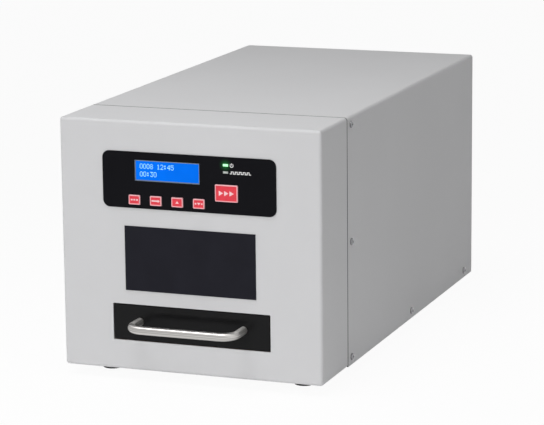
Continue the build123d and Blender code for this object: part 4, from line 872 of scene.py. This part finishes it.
class DEGAUSSER_OT_finish_drawer(bpy.types.Operator):
    """Drawer front, handle, tray and label plate"""

    bl_idname = "degausser.finish_drawer"
    bl_label = "Finish drawer"

    def execute(self, context):
        look = context.scene.degausser_drawer
        front = finish("drawer_front", tuple(look.front), 0.16, 0.0009, 0.000004, patch=0.05, shine=0.11)
        dress_slot("drawer_black", front)
        dress_slot("tray_black", finish("tray_plastic", (0.02, 0.02, 0.021), 0.55, 0.0006, 0.00003))
        plate = finish("label_plate", tuple(look.label), 0.42, 0.0007, 0.000008, patch=0.03, shine=0.07)
        dress_slot("label_black", plate)
        dress_slot("handle_chrome", polished_bar(look))
        return {"FINISHED"}


# Rear side and what lies inside

def on_rocker(look, side):
    """Layout on the upper or lower half of the rocker's face at rest, and that half's outward direction."""
    joint = next(j for j in frame["joints"] if j["child"] == "rocker")
    pivot = Vector(joint["pos_m"])
    rest = Matrix.Rotation(math.radians(joint["range_deg"][1] / 2), 3, "X")
    slope = look.rocker_slope * side
    rise = Vector((0.0, math.sin(slope), math.cos(slope)))
    middle = Vector((0.0, look.rocker_crest, 0.0)) + rise * look.sign_reach * side
    right = Vector((1.0, 0.0, 0.0))
    outward = rise.cross(right)
    return lambda x, z: pivot + rest @ (middle + right * x * MM + rise * z * MM), rest @ outward


class DEGAUSSER_OT_finish_rear(bpy.types.Operator):
    """Fan, inlet and switch, with the bar and ring on the rocker"""

    bl_idname = "degausser.finish_rear"
    bl_label = "Finish rear"

    def execute(self, context):
        look = context.scene.degausser_rear
        black = finish("moulded_black", tuple(look.moulding), 0.5, 0.0005, 0.00002, patch=0.02)
        dress_slot("moulded_black", black)
        brass = finish("terminal_brass", (0.72, 0.58, 0.30), 0.28, 0.0006, 0.000006, metallic=1.0)
        dress_slot("terminal_brass", brass)
        white = finish("rocker_print", tuple(look.print_white), 0.5, 0.0004, 0.000003)
        for name, side, shapes in (
            ("rocker_on", 1, [bar(0, 0, 0.8, 4.2)]),
            ("rocker_off", -1, ribbon(arc(1.8, 0, 360, 24), 0.7)),
        ):
            layout, outward = on_rocker(look, side)
            print_sign(name, shapes, layout, outward, white, "rocker")
        return {"FINISHED"}


def wound_wire(name, colour, pitch, axis):
    """Enamelled wire wound in close turns, stacked along an axis."""
    material = finish(name, colour, 0.32, 0.002, 0.00001, metallic=0.7)
    tree = material.node_tree
    shader = tree.nodes["Principled BSDF"]
    wave = tree.nodes.new("ShaderNodeTexWave")
    wave.bands_direction = axis
    wave.inputs["Scale"].default_value = math.pi / 10 / pitch
    wave.inputs["Distortion"].default_value = 0.4
    tree.links.new(place(tree), wave.inputs["Vector"])
    roughen(tree, shader, wave.outputs["Fac"], pitch / 2)
    return material


class DEGAUSSER_OT_finish_inside(bpy.types.Operator):
    """Coil, capacitors, boards and brackets inside the case"""

    bl_idname = "degausser.finish_inside"
    bl_label = "Finish inside"

    def execute(self, context):
        board = finish("circuit_board", (0.018, 0.14, 0.05), 0.35, 0.002, 0.00002, patch=0.01)
        dress_slot("board_green", board)
        brass = finish("standoff_brass", (0.70, 0.55, 0.26), 0.3, 0.0006, 0.000008, metallic=1.0)
        dress_slot("standoff_brass", brass)
        phenolic = finish("phenolic", (0.22, 0.11, 0.05), 0.5, 0.0012, 0.00002, stretch=(0.1, 1, 1))
        dress_slot("phenolic", phenolic)
        dress_slot("runner_white", finish("runner_white", (0.80, 0.80, 0.77), 0.4, 0.0008, 0.00001))
        dress_slot("copper", wound_wire("copper", (0.72, 0.30, 0.14), 0.002, "Y"))
        zinc = finish("zinc_sheet", (0.56, 0.57, 0.58), 0.38, 0.004, 0.00001, metallic=1.0, spread=0.14)
        dress_slot("zinc_steel", zinc)
        streaked = finish(
            "mill_aluminium", (0.70, 0.70, 0.71), 0.34, 0.0012, 0.00001,
            metallic=1.0, stretch=(0.06, 1.0, 1.0),
        )
        dress_slot("bare_aluminium", streaked)
        stack = finish("laminations", (0.10, 0.10, 0.11), 0.45, 0.0008, 0.00006, stretch=(1, 0.05, 0.05))
        dress_slot("lamination", stack)
        return {"FINISHED"}


# Stage

def lamp_at(name, where, aim, power, size, spread=180.0, mirrored=True):
    """Soft square lamp that looks at a point, with its spread in degrees; gloss may leave it out."""
    data = bpy.data.lights.new(name, "AREA")
    data.energy = power
    data.size = size
    data.spread = math.radians(spread)
    lamp = bpy.data.objects.new(name, data)
    lamp.location = where
    lamp.visible_glossy = mirrored
    lamp.rotation_euler = (Vector(aim) - Vector(where)).to_track_quat("-Z", "Y").to_euler()
    bpy.context.scene.collection.objects.link(lamp)


def seen_directly(tree):
    """One for what the camera sees, also in metal and through glass."""
    path = tree.nodes.new("ShaderNodeLightPath")
    seen = math_node(tree, "MAXIMUM", path.outputs["Is Camera Ray"], path.outputs["Is Glossy Ray"])
    return math_node(tree, "MAXIMUM", seen, path.outputs["Is Transmission Ray"])


class DEGAUSSER_OT_set_stage(bpy.types.Operator):
    """Pale floor, soft lamps and the photograph's viewpoint"""

    bl_idname = "degausser.set_stage"
    bl_label = "Set stage"

    def execute(self, context):
        scene = context.scene
        look = scene.degausser_stage
        scene.view_settings.view_transform = "Standard"
        world = bpy.data.worlds.new("studio")
        scene.world = world
        world.use_nodes = True
        sky = world.node_tree
        ground = sky.nodes["Background"]
        ground.inputs["Color"].default_value = (1.0, 1.0, 1.0, 1.0)
        sky.links.new(span(sky, seen_directly(sky), look.sky, 1.0, 0.0, 1.0), ground.inputs["Strength"])

        half, drop = 9.0, 0.0002
        corners = [(-half, -half, -drop), (half, -half, -drop), (half, half, -drop), (-half, half, -drop)]
        mesh = bpy.data.meshes.new("floor")
        mesh.from_pydata(corners, [], [(0, 1, 2, 3)])
        floor = bpy.data.objects.new("floor", mesh)
        scene.collection.objects.link(floor)
        material, tree, shader = new_surface("pale_floor")
        shader.inputs["Base Color"].default_value = (0.86, 0.86, 0.86, 1.0)
        shader.inputs["Roughness"].default_value = 0.9
        glow = tree.nodes.new("ShaderNodeEmission")
        mix = tree.nodes.new("ShaderNodeMixShader")
        share = math_node(tree, "MULTIPLY", seen_directly(tree), 1.0 - look.shadow_share)
        tree.links.new(share, mix.inputs["Fac"])
        tree.links.new(shader.outputs["BSDF"], mix.inputs[1])
        tree.links.new(glow.outputs["Emission"], mix.inputs[2])
        tree.links.new(mix.outputs["Shader"], tree.nodes["Material Output"].inputs["Surface"])
        mesh.materials.append(material)

        middle, top_front = (0.0, -0.05, 0.15), (0.0, -0.5, 0.25)
        lamp_at("front_lamp", (-0.8, -4.5, 1.2), middle, look.front_power, size=2.4, mirrored=False)
        lamp_at("top_lamp", (-0.2, -0.7, 1.9), top_front, look.top_power, size=1.0, spread=74.0)
        lamp_at("side_lamp", (2.2, -1.0, 1.0), middle, look.side_power, size=1.4)

        data = bpy.data.cameras.new("viewpoint")
        data.sensor_width = 36.0
        data.sensor_fit = "HORIZONTAL"
        data.lens = look.lens
        camera = bpy.data.objects.new("viewpoint", data)
        yaw, pitch, roll = look.yaw, look.pitch, look.roll
        right = Vector((math.cos(yaw), math.sin(yaw), 0.0))
        ahead = Vector((-math.sin(yaw) * math.cos(pitch), math.cos(yaw) * math.cos(pitch), -math.sin(pitch)))
        up = right.cross(ahead)
        side = right * math.cos(roll) + up * math.sin(roll)
        top = up * math.cos(roll) - right * math.sin(roll)
        turn = Matrix((side, top, -ahead)).transposed().to_4x4()
        camera.matrix_world = Matrix.Translation(look.eye) @ turn
        scene.collection.objects.link(camera)
        scene.camera = camera
        return {"FINISHED"}


class DEGAUSSER_PT_looks(bpy.types.Panel):
    """Steps that dress the degausser"""

    bl_idname = "DEGAUSSER_PT_looks"
    bl_label = "Degausser looks"
    bl_space_type = "VIEW_3D"
    bl_region_type = "UI"
    bl_category = "Degausser"

    def draw(self, context):
        for step in steps:
            self.layout.operator(step.bl_idname)


steps = (
    DEGAUSSER_OT_paint_case,
    DEGAUSSER_OT_drive_screws,
    DEGAUSSER_OT_finish_keypad,
    DEGAUSSER_OT_light_display,
    DEGAUSSER_OT_print_signs,
    DEGAUSSER_OT_finish_drawer,
    DEGAUSSER_OT_finish_rear,
    DEGAUSSER_OT_finish_inside,
    DEGAUSSER_OT_set_stage,
)
looks = {
    "degausser_case": CaseLook,
    "degausser_keypad": KeypadLook,
    "degausser_drawer": DrawerLook,
    "degausser_rear": RearLook,
    "degausser_stage": StageLook,
}


def register():
    """Add the groups, steps and panel."""
    for group in (*looks.values(), *steps, DEGAUSSER_PT_looks):
        bpy.utils.register_class(group)
    for name, group in looks.items():
        setattr(bpy.types.Scene, name, PointerProperty(type=group))


def unregister():
    """Take the groups, steps and panel out again."""
    for name in looks:
        delattr(bpy.types.Scene, name)
    for group in (DEGAUSSER_PT_looks, *reversed(steps), *looks.values()):
        bpy.utils.unregister_class(group)


def main():
    """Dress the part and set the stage."""
    register()
    bpy.ops.degausser.paint_case()
    bpy.ops.degausser.drive_screws()
    bpy.ops.degausser.finish_keypad()
    bpy.ops.degausser.light_display()
    bpy.ops.degausser.print_signs()
    bpy.ops.degausser.finish_drawer()
    bpy.ops.degausser.finish_rear()
    bpy.ops.degausser.finish_inside()
    bpy.ops.degausser.set_stage()


if __name__ == "__main__":
    main()
